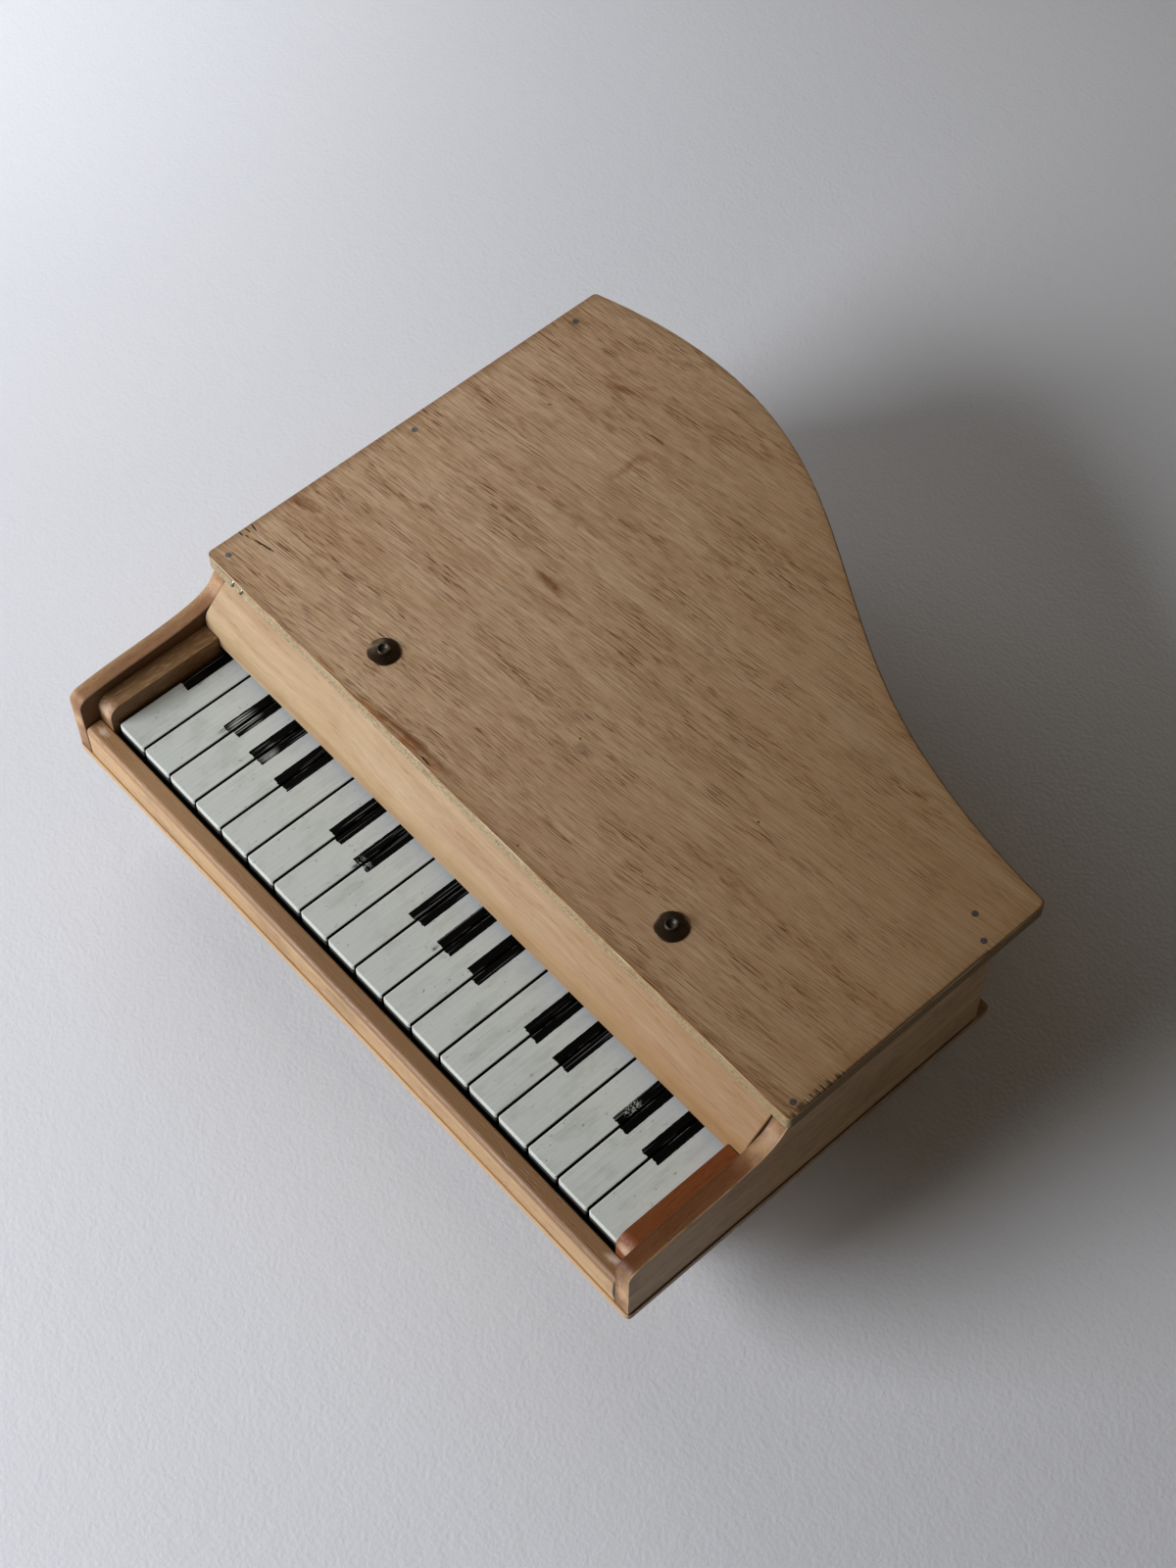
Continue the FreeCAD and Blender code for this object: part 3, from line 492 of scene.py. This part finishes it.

# Arms: bare outside, an old red-brown stain rubbed thin on the tops and inner faces, painted shade on the
# inner faces and along the foot
armWood = {
    **beech, "ease": 1.3, "segments": 4, "shine": 0.3,  # hardly any shine left
    "rightHalf": (-20.0, 20.0), "stainShades": ("#7A5032", "#5E3618"), "stainShare": 0.9,
    "stained": (150.0, 147.2), "patchyLeast": 0.5,
    "patchy": {"cell": (9.0, 18.0, 9.0), "levels": (0.25, 0.7), "detail": 4.0, "shift": 2.6},
    "wholeTop": (150.15, 149.6), "behindEnd": (-132.8, -131.2), "wholeTopCoat": (0.85, "#5F3618"),
    "innerFaceShade": {"reach": (144.6, 143.9), "coat": (0.7, "#4A3520")},
    "pale": {"rag": (4.0, 3.0), "coat": (0.72, "#C6A077"), "marks": (
        ((-147.0, -70.0, 82.0), (6.0, 6.0, 7.0), 0.0, 0.8),
        ((147.0, -74.0, 79.0), (7.0, 14.0, 11.0), 0.0, 0.9),
        ((-147.0, -133.5, 56.0), (5.0, 2.0, 6.0), 0.0, 0.9),
        ((147.0, -133.5, 52.0), (5.0, 2.0, 14.0), 0.0, 0.9))},
    "foot": {"reach": (39.2, 38.4), "coat": (0.8, "#2B1C10")},
}
look = startWood("beechRubbedStain", armWood)
add, place = look["add"], look["place"]
axes = add("SeparateXYZ", {0: place}).node.outputs
fromMiddle = add("Math", {0: axes[0]}, operation="ABSOLUTE")
onRight = add("MapRange", {"Value": axes[0], **between(*armWood["rightHalf"])})
stain = add("MapRange", {"Value": fromMiddle, **between(*armWood["stained"])})
patchy = streak(look, place, **armWood["patchy"])
patchy = add("MapRange", {"Value": patchy, "To Min": armWood["patchyLeast"]})
stain = add("Math", {0: stain, 1: patchy}, operation="MULTIPLY")
leftStain, rightStain = armWood["stainShades"]
overlay(look, stain, armWood["stainShare"], add("Mix", {0: onRight, 6: leftStain, 7: rightStain}, **mixing))
wholeTop = add("MapRange", {"Value": axes[0], **between(*armWood["wholeTop"])})
behindEnd = add("MapRange", {"Value": axes[1], **between(*armWood["behindEnd"])})
for limit in (onRight, behindEnd):
    wholeTop = add("Math", {0: wholeTop, 1: limit}, operation="MULTIPLY")
overlay(look, wholeTop, *armWood["wholeTopCoat"])
# painted shade on the inner faces, turned to the keys
paintZone(look, fromMiddle, armWood["innerFaceShade"])
paintMarks(look, armWood["pale"])
# painted shade along the foot, where the arm meets the base
paintZone(look, axes[2], armWood["foot"])
armBeech = closeMaterial(look, armWood["depth"], armWood["shine"])
for side in ("left", "right"):
    easedBoard(side + "_side", side + "Arm", armBeech, armWood)

# Key blocks: the same beech, darker, redder on the right, with pale noses
blockWood = {
    **beech, "ease": 0.7, "shine": 0.3, "light": "#8A6A49", "dark": "#765638", "warm": (0.4, "#664528"),
    "redder": {"reach": (-20.0, 20.0), "coat": (0.85, "#733710")},
    "noses": {"rag": (3.0, 1.6), "coat": (0.75, "#CBAE92"), "marks": (
        ((-139.8, -126.2, 62.5), (5.5, 3.2, 6.5), 0.0, 0.9),
        ((139.8, -126.6, 62.0), (5.0, 3.0, 4.5), 0.0, 0.9))},
}
look = startWood("beechDarkStain", blockWood)
axes = look["add"]("SeparateXYZ", {0: look["place"]}).node.outputs
paintZone(look, axes[0], blockWood["redder"])
paintMarks(look, blockWood["noses"])
blockBeech = closeMaterial(look, blockWood["depth"], blockWood["shine"])
for side in ("left", "right"):
    easedBoard("key_block_" + side, side + "KeyBlock", blockBeech, blockWood)

# Front rail: pale in front, painted shade making the top darker and browner, more so to the right; scuffed at
# both ends, cracked at the right arm
railWood = {
    **beech, "ease": 0.8, "segments": 4, "axis": "X",
    "light": "#CFAE82", "dark": "#C29E72", "warm": (0.4, "#B08A5A"),
    "top": (-133.6, -132.7), "topEdge": (50.8, 52.2), "topShadeShare": 0.9,
    "topShadeBlend": (-110.0, -20.0), "topShadeColours": ("#97724D", "#7C5836"),
    "scuffs": {"rag": (2.5, 1.6), "coat": (0.6, "#DCCBB8"), "marks": (
        ((137.5, -128.0, 54.0), (5.0, 2.6, 1.5), 20.0, 0.9),
        ((-138.5, -129.4, 54.0), (4.0, 1.7, 1.5), 0.0, 0.9))},
    "crack": {"rag": (2.0, 0.5), "coat": (0.95, "#20150C"), "marks": (
        ((143.2, -133.4, 46.5), (0.8, 2.5, 8.0), 0.0, 0.5),)},
}
look = startWood("beechRailWorn", railWood)
add = look["add"]
axes = add("SeparateXYZ", {0: look["place"]}).node.outputs
# painted shade on the top face and its eased front edge, deeper towards the right
top = add("MapRange", {"Value": axes[1], **between(*railWood["top"])})
topEdge = add("MapRange", {"Value": axes[2], **between(*railWood["topEdge"])})
top = add("Math", {0: top, 1: topEdge}, operation="MAXIMUM")
toRight = add("MapRange", {"Value": axes[0], **between(*railWood["topShadeBlend"])})
leftTop, rightTop = railWood["topShadeColours"]
overlay(look, top, railWood["topShadeShare"], add("Mix", {0: toRight, 6: leftTop, 7: rightTop}, **mixing))
paintMarks(look, railWood["scuffs"])
paintMarks(look, railWood["crack"])
railBeech = closeMaterial(look, railWood["depth"], railWood["shine"])
easedBoard("front_rail", "railBar", railBeech, railWood)

# Fallboard: planed pine with soft pinkish growth bands, browner to the right
pineWood = {
    "ease": 0.6, "segments": 3, "axis": "X", "turn": 0.0, "bend": 12.0,
    "tone": (150.0, 6.0), "figure": (80.0, 5.0), "fibre": (30.0, 0.7), "pore": (8.0, 0.6), "poreCut": 0.64,
    "light": "#B39B79", "dark": "#AA906E", "warm": (0.5, "#997651"), "line": (0.2, "#93704A"),
    "gleam": (0.15, "#B9A07C"), "dirt": (0.3, "#8E6E4C"), "pit": (0.35, "#80593A"),
    "rough": 0.6, "depth": 0.05, "shine": 0.3,  # bare wood, no polish
    "bands": {"rag": (9.0, 3.0), "coat": (0.4, "#9E7148"), "marks": (
        ((-74.0, -73.0, 70.0), (32.0, 3.0, 3.6), 0.0, 0.9),
        ((30.0, -73.0, 68.0), (60.0, 3.0, 3.0), 0.0, 0.9))},
    "browner": {"reach": (-60.0, 150.0), "coat": (0.72, "#875F34")},
}
look = startWood("pinePlanedBare", pineWood)
paintMarks(look, pineWood["bands"])
axes = look["add"]("SeparateXYZ", {0: look["place"]}).node.outputs
paintZone(look, axes[0], pineWood["browner"])
fallPine = closeMaterial(look, pineWood["depth"], pineWood["shine"])
easedBoard("fallboard", "fallBoard", fallPine, pineWood)

# Base and hidden rails: plain boards gone brown, the base's front lip rubbed pale
caseWood = {
    **beech, "ease": 0.7, "axis": "X", "light": "#A58560", "dark": "#8A6946", "warm": (0.4, "#745230"),
    "lip": {"reach": (-133.0, -133.6), "coat": (0.75, "#C6A274")},
}
look = startWood("beechCaseBoard", caseWood)
axes = look["add"]("SeparateXYZ", {0: look["place"]}).node.outputs
paintZone(look, axes[1], caseWood["lip"])
caseBeech = closeMaterial(look, caseWood["depth"], caseWood["shine"])
easedBoard("base_board", "baseTray", caseBeech, caseWood)
paintNodes(["balance_rail", "key_rest_rail"], caseBeech)

# Bent wall: thin ply in the base's brown, bent across its grain, so the figure stands upright
wallWood = {
    **caseWood, "axis": "Z", "tone": (140.0, 11.0), "figure": (70.0, 8.0), "dirt": (0.3, "#6E5338")}
look = startWood("beechPlyBent", wallWood)
wallBeech = closeMaterial(look, wallWood["depth"], wallWood["shine"])
easedBoard("bent_side", "bentWall", wallBeech, wallWood)

# Legs: turned pegs, their grain upright, a little redder than the case
legWood = {
    **beech, "ease": 0.8, "axis": "Z", "light": "#AF8861", "dark": "#946D49",
    "legs": (
        ("leg_front_left", "frontLeftLeg"), ("leg_front_right", "frontRightLeg"), ("leg_tail", "tailLeg")),
}
look = startWood("beechTurnedPeg", legWood)
legBeech = closeMaterial(look, legWood["depth"], legWood["shine"])
for nodeName, name in legWood["legs"]:
    easedBoard(nodeName, name, legBeech, legWood)

# Hammers and their comb: clean pale beech that no hand has touched
hammerWood = {
    **beech, "count": 18, "light": "#C6A679", "dark": "#B08E62", "warm": (0.4, "#9C7A4E"), "depth": 0.05}
look = startWood("beechHammerBare", hammerWood)
hammerBeech = closeMaterial(look, hammerWood["depth"], hammerWood["shine"])
paintNodes([f"hammer_{n:02d}" for n in range(1, hammerWood["count"] + 1)] + ["hammer_rail"], hammerBeech)
print("boards ready")

# Keys: grey-white enamel brushed lengthwise, grimy, painted bluish shade under the fallboard, painted dark
# shade in the joints
keyLook = {
    "count": 18, "pitch": 15.0, "light": "#C8CCC7", "dark": "#BEC4BE",
    "rough": (0.5, 0.64), "depth": 0.03, "shine": 0.06,  # enamel gone chalky
    "brush": {"cell": (0.9, 60.0, 0.9), "levels": (0.3, 0.7), "detail": 3.0},
    "grime": {"cell": (7.0, 16.0, 7.0), "levels": (0.5, 0.75), "detail": 5.0, "rough": 0.62},
    "grimeCoat": (0.4, "#8E8E84"),
    "fleck": {"cell": (1.1, 2.2, 1.1), "levels": (0.68, 0.76), "shift": 3.3}, "fleckCoat": (0.55, "#5C5A54"),
    "fallboardShade": {"reach": (-89.0, -77.0), "coat": (0.4, "#ABB3C2")},
    "chips": {"rag": (1.6, 0.8), "coat": (0.9, "#4A3120"), "marks": (
        ((134.8, -96.5, 57.5), (1.2, 2.4, 2.0), 0.0, 0.5),
        ((134.9, -101.0, 57.5), (0.9, 2.0, 2.0), 0.0, 0.5),
        ((134.9, -110.0, 57.5), (0.7, 2.6, 2.0), 0.0, 0.5),
        ((134.8, -86.0, 57.5), (1.0, 3.0, 2.0), 0.0, 0.5))},
    "cheekSunk": (57.36, 57.28), "cheekAside": (0.62, 0.54), "cheekShadeCoat": (0.97, "#0F0D0B"),
    "bare": {"reach": (55.2, 54.5), "coat": (0.92, "#17130F")},
}
# the black notes: bars painted by brush over the joints, with uneven ends, dry strokes and scratches;
# octave and noBar count joints, sizes and places are in mm
noteLook = {
    "coat": (1.0, "#040404"), "half": 3.8, "wobble": 0.2, "firstWider": 1.3, "lowest": 56.4, "last": 130.5,
    "start": -97.45, "startUneven": 1.8, "startFrayed": 0.9, "octave": 7.0, "noBar": (1.0, 5.0),
    "shaky": {"cell": (1.2, 2.5, 1.2), "levels": (0.2, 0.8), "shift": 1.1},
    "bristle": {"cell": (0.45, 26.0, 0.45), "levels": (0.5, 0.6), "shift": 5.9},
    "dry": {"marks": (
        ((-105.0, -90.0, 57.5), (5.5, 9.0, 3.0), 0.0, 0.7),
        ((-90.0, -92.0, 57.5), (5.0, 6.0, 3.0), 0.0, 0.7))},
    "scratched": {"marks": (
        ((103.2, -88.5, 57.5), (2.6, 4.6, 3.0), 0.0, 0.4),
        ((-30.0, -95.0, 57.5), (4.5, 2.5, 3.0), 0.0, 0.6))},
    "curl": {"cell": 1.3, "detail": 1.0, "shift": 8.8}, "curlLevels": ((0.47, 0.5), (0.56, 0.53)),
    "jointRub": (0.75, 0.55), "jointRubMost": 0.5,
    "jointGone": {"cell": (3.0, 9.0, 3.0), "levels": (0.5, 0.62), "detail": 3.0, "shift": 2.0},
    "hair": {"cell": (0.5, 46.0, 0.5), "levels": (0.67, 0.71), "detail": 1.0, "shift": 7.4},
    "hairShare": 0.35, "goneShare": 0.75,
    "smudges": {"rag": (2.2, 1.4), "coat": (0.85, "#1C1B1A"), "marks": (
        ((-107.6, -97.4, 57.5), (3.4, 4.2, 3.0), 0.0, 0.9),
        ((-92.6, -98.0, 57.5), (3.6, 4.4, 3.0), 0.0, 0.9),
        ((-132.0, -92.0, 57.5), (4.0, 9.0, 3.0), 0.0, 0.8),
        ((-31.5, -98.0, 57.5), (2.4, 2.6, 3.0), 0.0, 0.9),
        ((14.0, -98.5, 57.5), (5.0, 2.2, 3.0), 0.0, 1.0),
        ((105.0, -91.0, 57.5), (2.2, 3.0, 3.0), 0.0, 0.8))},
}
look = openMaterial("keyEnamelBrushed")
add, place = look["add"], look["place"]
axes = add("SeparateXYZ", {0: place}).node.outputs
brush = streak(look, place, **keyLook["brush"])
look["colour"] = add("Mix", {0: brush, 6: keyLook["light"], 7: keyLook["dark"]}, **mixing)
overlay(look, streak(look, place, **keyLook["grime"]), *keyLook["grimeCoat"])
overlay(look, streak(look, place, **keyLook["fleck"]), *keyLook["fleckCoat"])
# painted shade: bluish and darker towards the fallboard, as under its overhang
paintZone(look, axes[1], keyLook["fallboardShade"])
paintMarks(look, keyLook["chips"])

# joints are numbered from the left end of the keyboard, and aside is mm from the nearest one
perMetre, fromLeft = 1000 / keyLook["pitch"], keyLook["count"] / 2
step = add("Math", {0: axes[0], 1: perMetre, 2: fromLeft}, operation="MULTIPLY_ADD")
joint = add("Math", {0: step}, operation="ROUND")
offset = add("Math", {0: step, 1: joint}, operation="SUBTRACT")
aside = add("Math", {0: offset}, operation="ABSOLUTE")
aside = add("Math", {0: aside, 1: keyLook["pitch"]}, operation="MULTIPLY")

# where the bars are: their width, the two gaps in each octave, their ends, tops only
shaky = streak(look, place, **noteLook["shaky"])
firstBar = add("Math", {0: joint, 1: 0.5}, operation="LESS_THAN")  # joint 0, at the left end
half = add("Math", {0: firstBar, 1: noteLook["firstWider"], 2: noteLook["half"]}, operation="MULTIPLY_ADD")
half = add("Math", {0: shaky, 1: noteLook["wobble"], 2: half}, operation="MULTIPLY_ADD")
inBar = add("Math", {0: aside, 1: half}, operation="LESS_THAN")
inOctave = add("Math", {0: joint, 1: noteLook["octave"]}, operation="FLOORED_MODULO")
for number in noteLook["noBar"]:
    here = add("Math", {0: inOctave, 1: number, 2: 0.1}, operation="COMPARE")
    inBar = add("Math", {0: inBar, 1: here}, operation="SUBTRACT")
keySide = add("Math", {0: offset}, operation="SIGN")
barHalf = add("CombineXYZ", {0: joint, 1: keySide})
chance = add("TexWhiteNoise", {"Vector": barHalf}, noise_dimensions="3D")
start, uneven, frayed = metres(noteLook[key] for key in ("start", "startUneven", "startFrayed"))
start = add("Math", {0: chance, 1: uneven, 2: start}, operation="MULTIPLY_ADD")
start = add("Math", {0: shaky, 1: frayed, 2: start}, operation="MULTIPLY_ADD")
for value, limit, kind in (
        (axes[1], start, "GREATER_THAN"), (axes[2], noteLook["lowest"] / 1000, "GREATER_THAN"),
        (axes[0], noteLook["last"] / 1000, "LESS_THAN")):
    inside = add("Math", {0: value, 1: limit}, operation=kind)
    inBar = add("Math", {0: inBar, 1: inside}, operation="MULTIPLY")

# where the black is thin or gone: dry strokes, scratches, the rubbed joint, hair lines
bristle = streak(look, place, **noteLook["bristle"])
dry = add("Math", {0: marked(look, noteLook["dry"]), 1: bristle}, operation="MULTIPLY")
curl, curlBack = (streak(look, place, levels=levels, **noteLook["curl"]) for levels in noteLook["curlLevels"])
curl = add("Math", {0: curl, 1: curlBack}, operation="MULTIPLY")
scratch = add("Math", {0: marked(look, noteLook["scratched"]), 1: curl}, operation="MULTIPLY")
jointRub = add("MapRange", {
    "Value": aside, **between(*noteLook["jointRub"], unit=1), "To Max": noteLook["jointRubMost"]})
jointGone = streak(look, place, **noteLook["jointGone"])
jointRub = add("Math", {0: jointRub, 1: jointGone}, operation="MULTIPLY")
hair = streak(look, place, **noteLook["hair"])
hair = add("Math", {0: hair, 1: noteLook["hairShare"]}, operation="MULTIPLY")
gone = dry
for more in (scratch, jointRub, hair):
    gone = add("Math", {0: gone, 1: more}, operation="MAXIMUM")
stays = add("Math", {0: gone, 1: -noteLook["goneShare"], 2: 1.0}, operation="MULTIPLY_ADD")
inBar = add("Math", {0: inBar, 1: stays}, operation="MULTIPLY", use_clamp=True)
overlay(look, inBar, *noteLook["coat"])
smudge = add("Math", {0: marked(look, noteLook["smudges"]), 1: bristle}, operation="MULTIPLY")
overlay(look, smudge, *noteLook["smudges"]["coat"])

# painted shade: the cheeks dark down in the joints between keys; the key fronts near black below a set height
sunk = add("MapRange", {"Value": axes[2], **between(*keyLook["cheekSunk"])})
cheek = add("MapRange", {"Value": aside, **between(*keyLook["cheekAside"], unit=1)})
cheek = add("Math", {0: cheek, 1: sunk}, operation="MULTIPLY")
overlay(look, cheek, *keyLook["cheekShadeCoat"])
paintZone(look, axes[2], keyLook["bare"])
smoothest, roughest = keyLook["rough"]
look["rough"] = add("MapRange", {"Value": brush, "To Min": smoothest, "To Max": roughest})
look["height"] = brush
keyPaint = closeMaterial(look, keyLook["depth"], keyLook["shine"])
paintNodes([f"key_{n:02d}" for n in range(1, keyLook["count"] + 1)], keyPaint)
print("keys ready")

# Felt under the keys: pressed wool, dull dark red, a matt fuzz with no shine of its own
feltLook = {
    "fuzz": {"cell": 1.1, "levels": (0.3, 0.7), "detail": 4.0},
    "light": "#5B2F2A", "dark": "#47231F", "rough": (0.85, 0.95), "depth": 0.3,
}
look = openMaterial("woolFeltPressed")
add = look["add"]
fuzz = streak(look, look["place"], **feltLook["fuzz"])
smoothest, roughest = feltLook["rough"]
look.update({
    "colour": add("Mix", {0: fuzz, 6: feltLook["light"], 7: feltLook["dark"]}, **mixing), "height": fuzz,
    "rough": add("MapRange", {"Value": fuzz, "To Min": smoothest, "To Max": roughest})})
feltRed = closeMaterial(look, feltLook["depth"])
paintNodes(["key_felts"], feltRed)

tarnishClouds = {"cell": 3.8, "levels": (0.35, 0.68), "detail": 5.0, "rough": 0.6}


# metal gone dull in small clouds: darker, rougher and a little pitted where it has tarnished
def metal(name, bright, dull, smoothest, roughest, depth):
    look = openMaterial(name)
    add = look["add"]
    look["shader"].inputs["Metallic"].default_value = 1.0
    tarnish = streak(look, look["place"], **tarnishClouds)
    look.update({
        "colour": add("Mix", {0: tarnish, 6: bright, 7: dull}, **mixing), "height": tarnish,
        "rough": add("MapRange", {"Value": tarnish, "To Min": smoothest, "To Max": roughest})})
    return closeMaterial(look, depth)


boltSteel = metal("steelBrownedBolt", "#605850", "#433D36", 0.42, 0.56, 0.03)  # brown, a soft gleam
steelWire = metal("steelDrawnDull", "#8E8D8A", "#6A6661", 0.28, 0.5, 0.02)  # grey, still smooth
stapleSteel = metal("steelStapleBright", "#C9C7C2", "#9A958C", 0.2, 0.4, 0.01)  # bright wire
ironCast = metal("ironCastGrey", "#55534F", "#3E3C39", 0.5, 0.7, 0.1)  # dark and grainy
bronzeDark = metal("bronzeAgedDark", "#6B5844", "#3A3026", 0.28, 0.45, 0.04)  # brown-black, bright rims
nailSteel = metal("steelNailRubbed", "#9E9B97", "#6C6966", 0.4, 0.6, 0.02)  # flat grey heads
paintNodes(["lid_nails"], nailSteel)
paintNodes(["key_pivot_wire", "hammer_pivot_wire", "tone_rods", "leg_screws"], steelWire)
paintNodes(["tone_bar"], ironCast)


# a profile of (radius, height) in mm turned about an upright axis
def spun(work, profile, centre, steps):
    ring = [work.verts.new((centre[0] + r / 1000, centre[1], centre[2] + h / 1000)) for r, h in profile]
    chain = [work.edges.new(pair) for pair in zip(ring, ring[1:])]
    bmesh.ops.spin(
        work, geom=ring + chain, cent=centre, axis=(0.0, 0.0, 1.0), angle=math.tau, steps=steps,
        use_merge=True)
    bmesh.ops.remove_doubles(work, verts=work.verts, dist=0.00001)
    bmesh.ops.recalc_face_normals(work, faces=work.faces)


# Lid bolts with hollow heads in bell-shaped washers
boltShape = {
    "places": ((-74.8, -46.15), (74.8, -46.15)), "steps": 48,
    "washer": ((1.8, 0.0), (5.9, 0.0), (6.0, 0.1), (6.0, 0.3), (5.88, 0.44), (5.4, 0.62), (4.6, 0.82),
               (3.7, 1.03), (3.0, 1.22), (2.6, 1.3), (1.8, 1.3), (1.8, 0.0)),
    "bolt": ((0.0, -17.0), (1.7, -17.0), (1.7, 1.3), (2.5, 1.3), (2.46, 1.6), (2.36, 2.1), (2.28, 2.36),
             (2.18, 2.47), (2.04, 2.5), (1.86, 2.47), (1.74, 2.38), (1.64, 2.1), (1.58, 1.65), (0.0, 1.6)),
}
washers, bolts = bmesh.new(), bmesh.new()
for across, along in boltShape["places"]:
    centre = (across / 1000, along / 1000, lidHigh.z)
    spun(washers, boltShape["washer"], centre, boltShape["steps"])
    spun(bolts, boltShape["bolt"], centre, boltShape["steps"])
standFor(makePiece(washers, "bellWashers", "case", [bronzeDark]), "cup_washers")
standFor(makePiece(bolts, "socketBolts", "case", [boltSteel]), "lid_bolts")

# two crushed wire staples in the lid's front edge, each at its place across and its lean in degrees
stapleShape = {
    "places": ((-136.4, 20.0), (-131.5, 23.0)), "wire": 0.38, "arch": 2.2, "flat": 0.45,
    "below": 1.2, "inset": 0.2, "sides": 10, "steps": 12,
}
wireRadius, arch, below, inset = metres(stapleShape[key] for key in ("wire", "arch", "below", "inset"))
staples = bmesh.new()
for across, lean in stapleShape["places"]:
    foot = Vector((across / 1000, lidLow.y + inset, lidHigh.z - below))
    made = bmesh.ops.create_circle(staples, cap_ends=False, segments=stapleShape["sides"], radius=wireRadius)
    ring = made["verts"]
    bmesh.ops.rotate(staples, verts=ring, matrix=Matrix.Rotation(math.pi / 2, 3, "X"))
    bmesh.ops.translate(staples, verts=ring, vec=foot)
    middle = foot - Vector((0.0, 0.0, arch))
    wire = ring + list(dict.fromkeys(e for v in ring for e in v.link_edges))
    bmesh.ops.spin(
        staples, geom=wire, cent=middle, axis=(1.0, 0.0, 0.0), angle=math.pi, steps=stapleShape["steps"],
        use_merge=False)
    loop = [v for v in staples.verts if abs(v.co.x - foot.x) < 0.001]
    flattened = Matrix.Diagonal((1.0, stapleShape["flat"], 1.0, 1.0))
    squeeze = Matrix.Rotation(math.radians(lean), 4, "Y") @ flattened
    bmesh.ops.transform(staples, verts=loop, matrix=squeeze, space=Matrix.Translation(-middle))
bmesh.ops.holes_fill(staples, edges=[e for e in staples.edges if e.is_boundary])
bmesh.ops.recalc_face_normals(staples, faces=staples.faces)
staplePiece = makePiece(staples, "edgeStaples", "case", [stapleSteel])
print("metal ready")

bpy.context.view_layer.update()
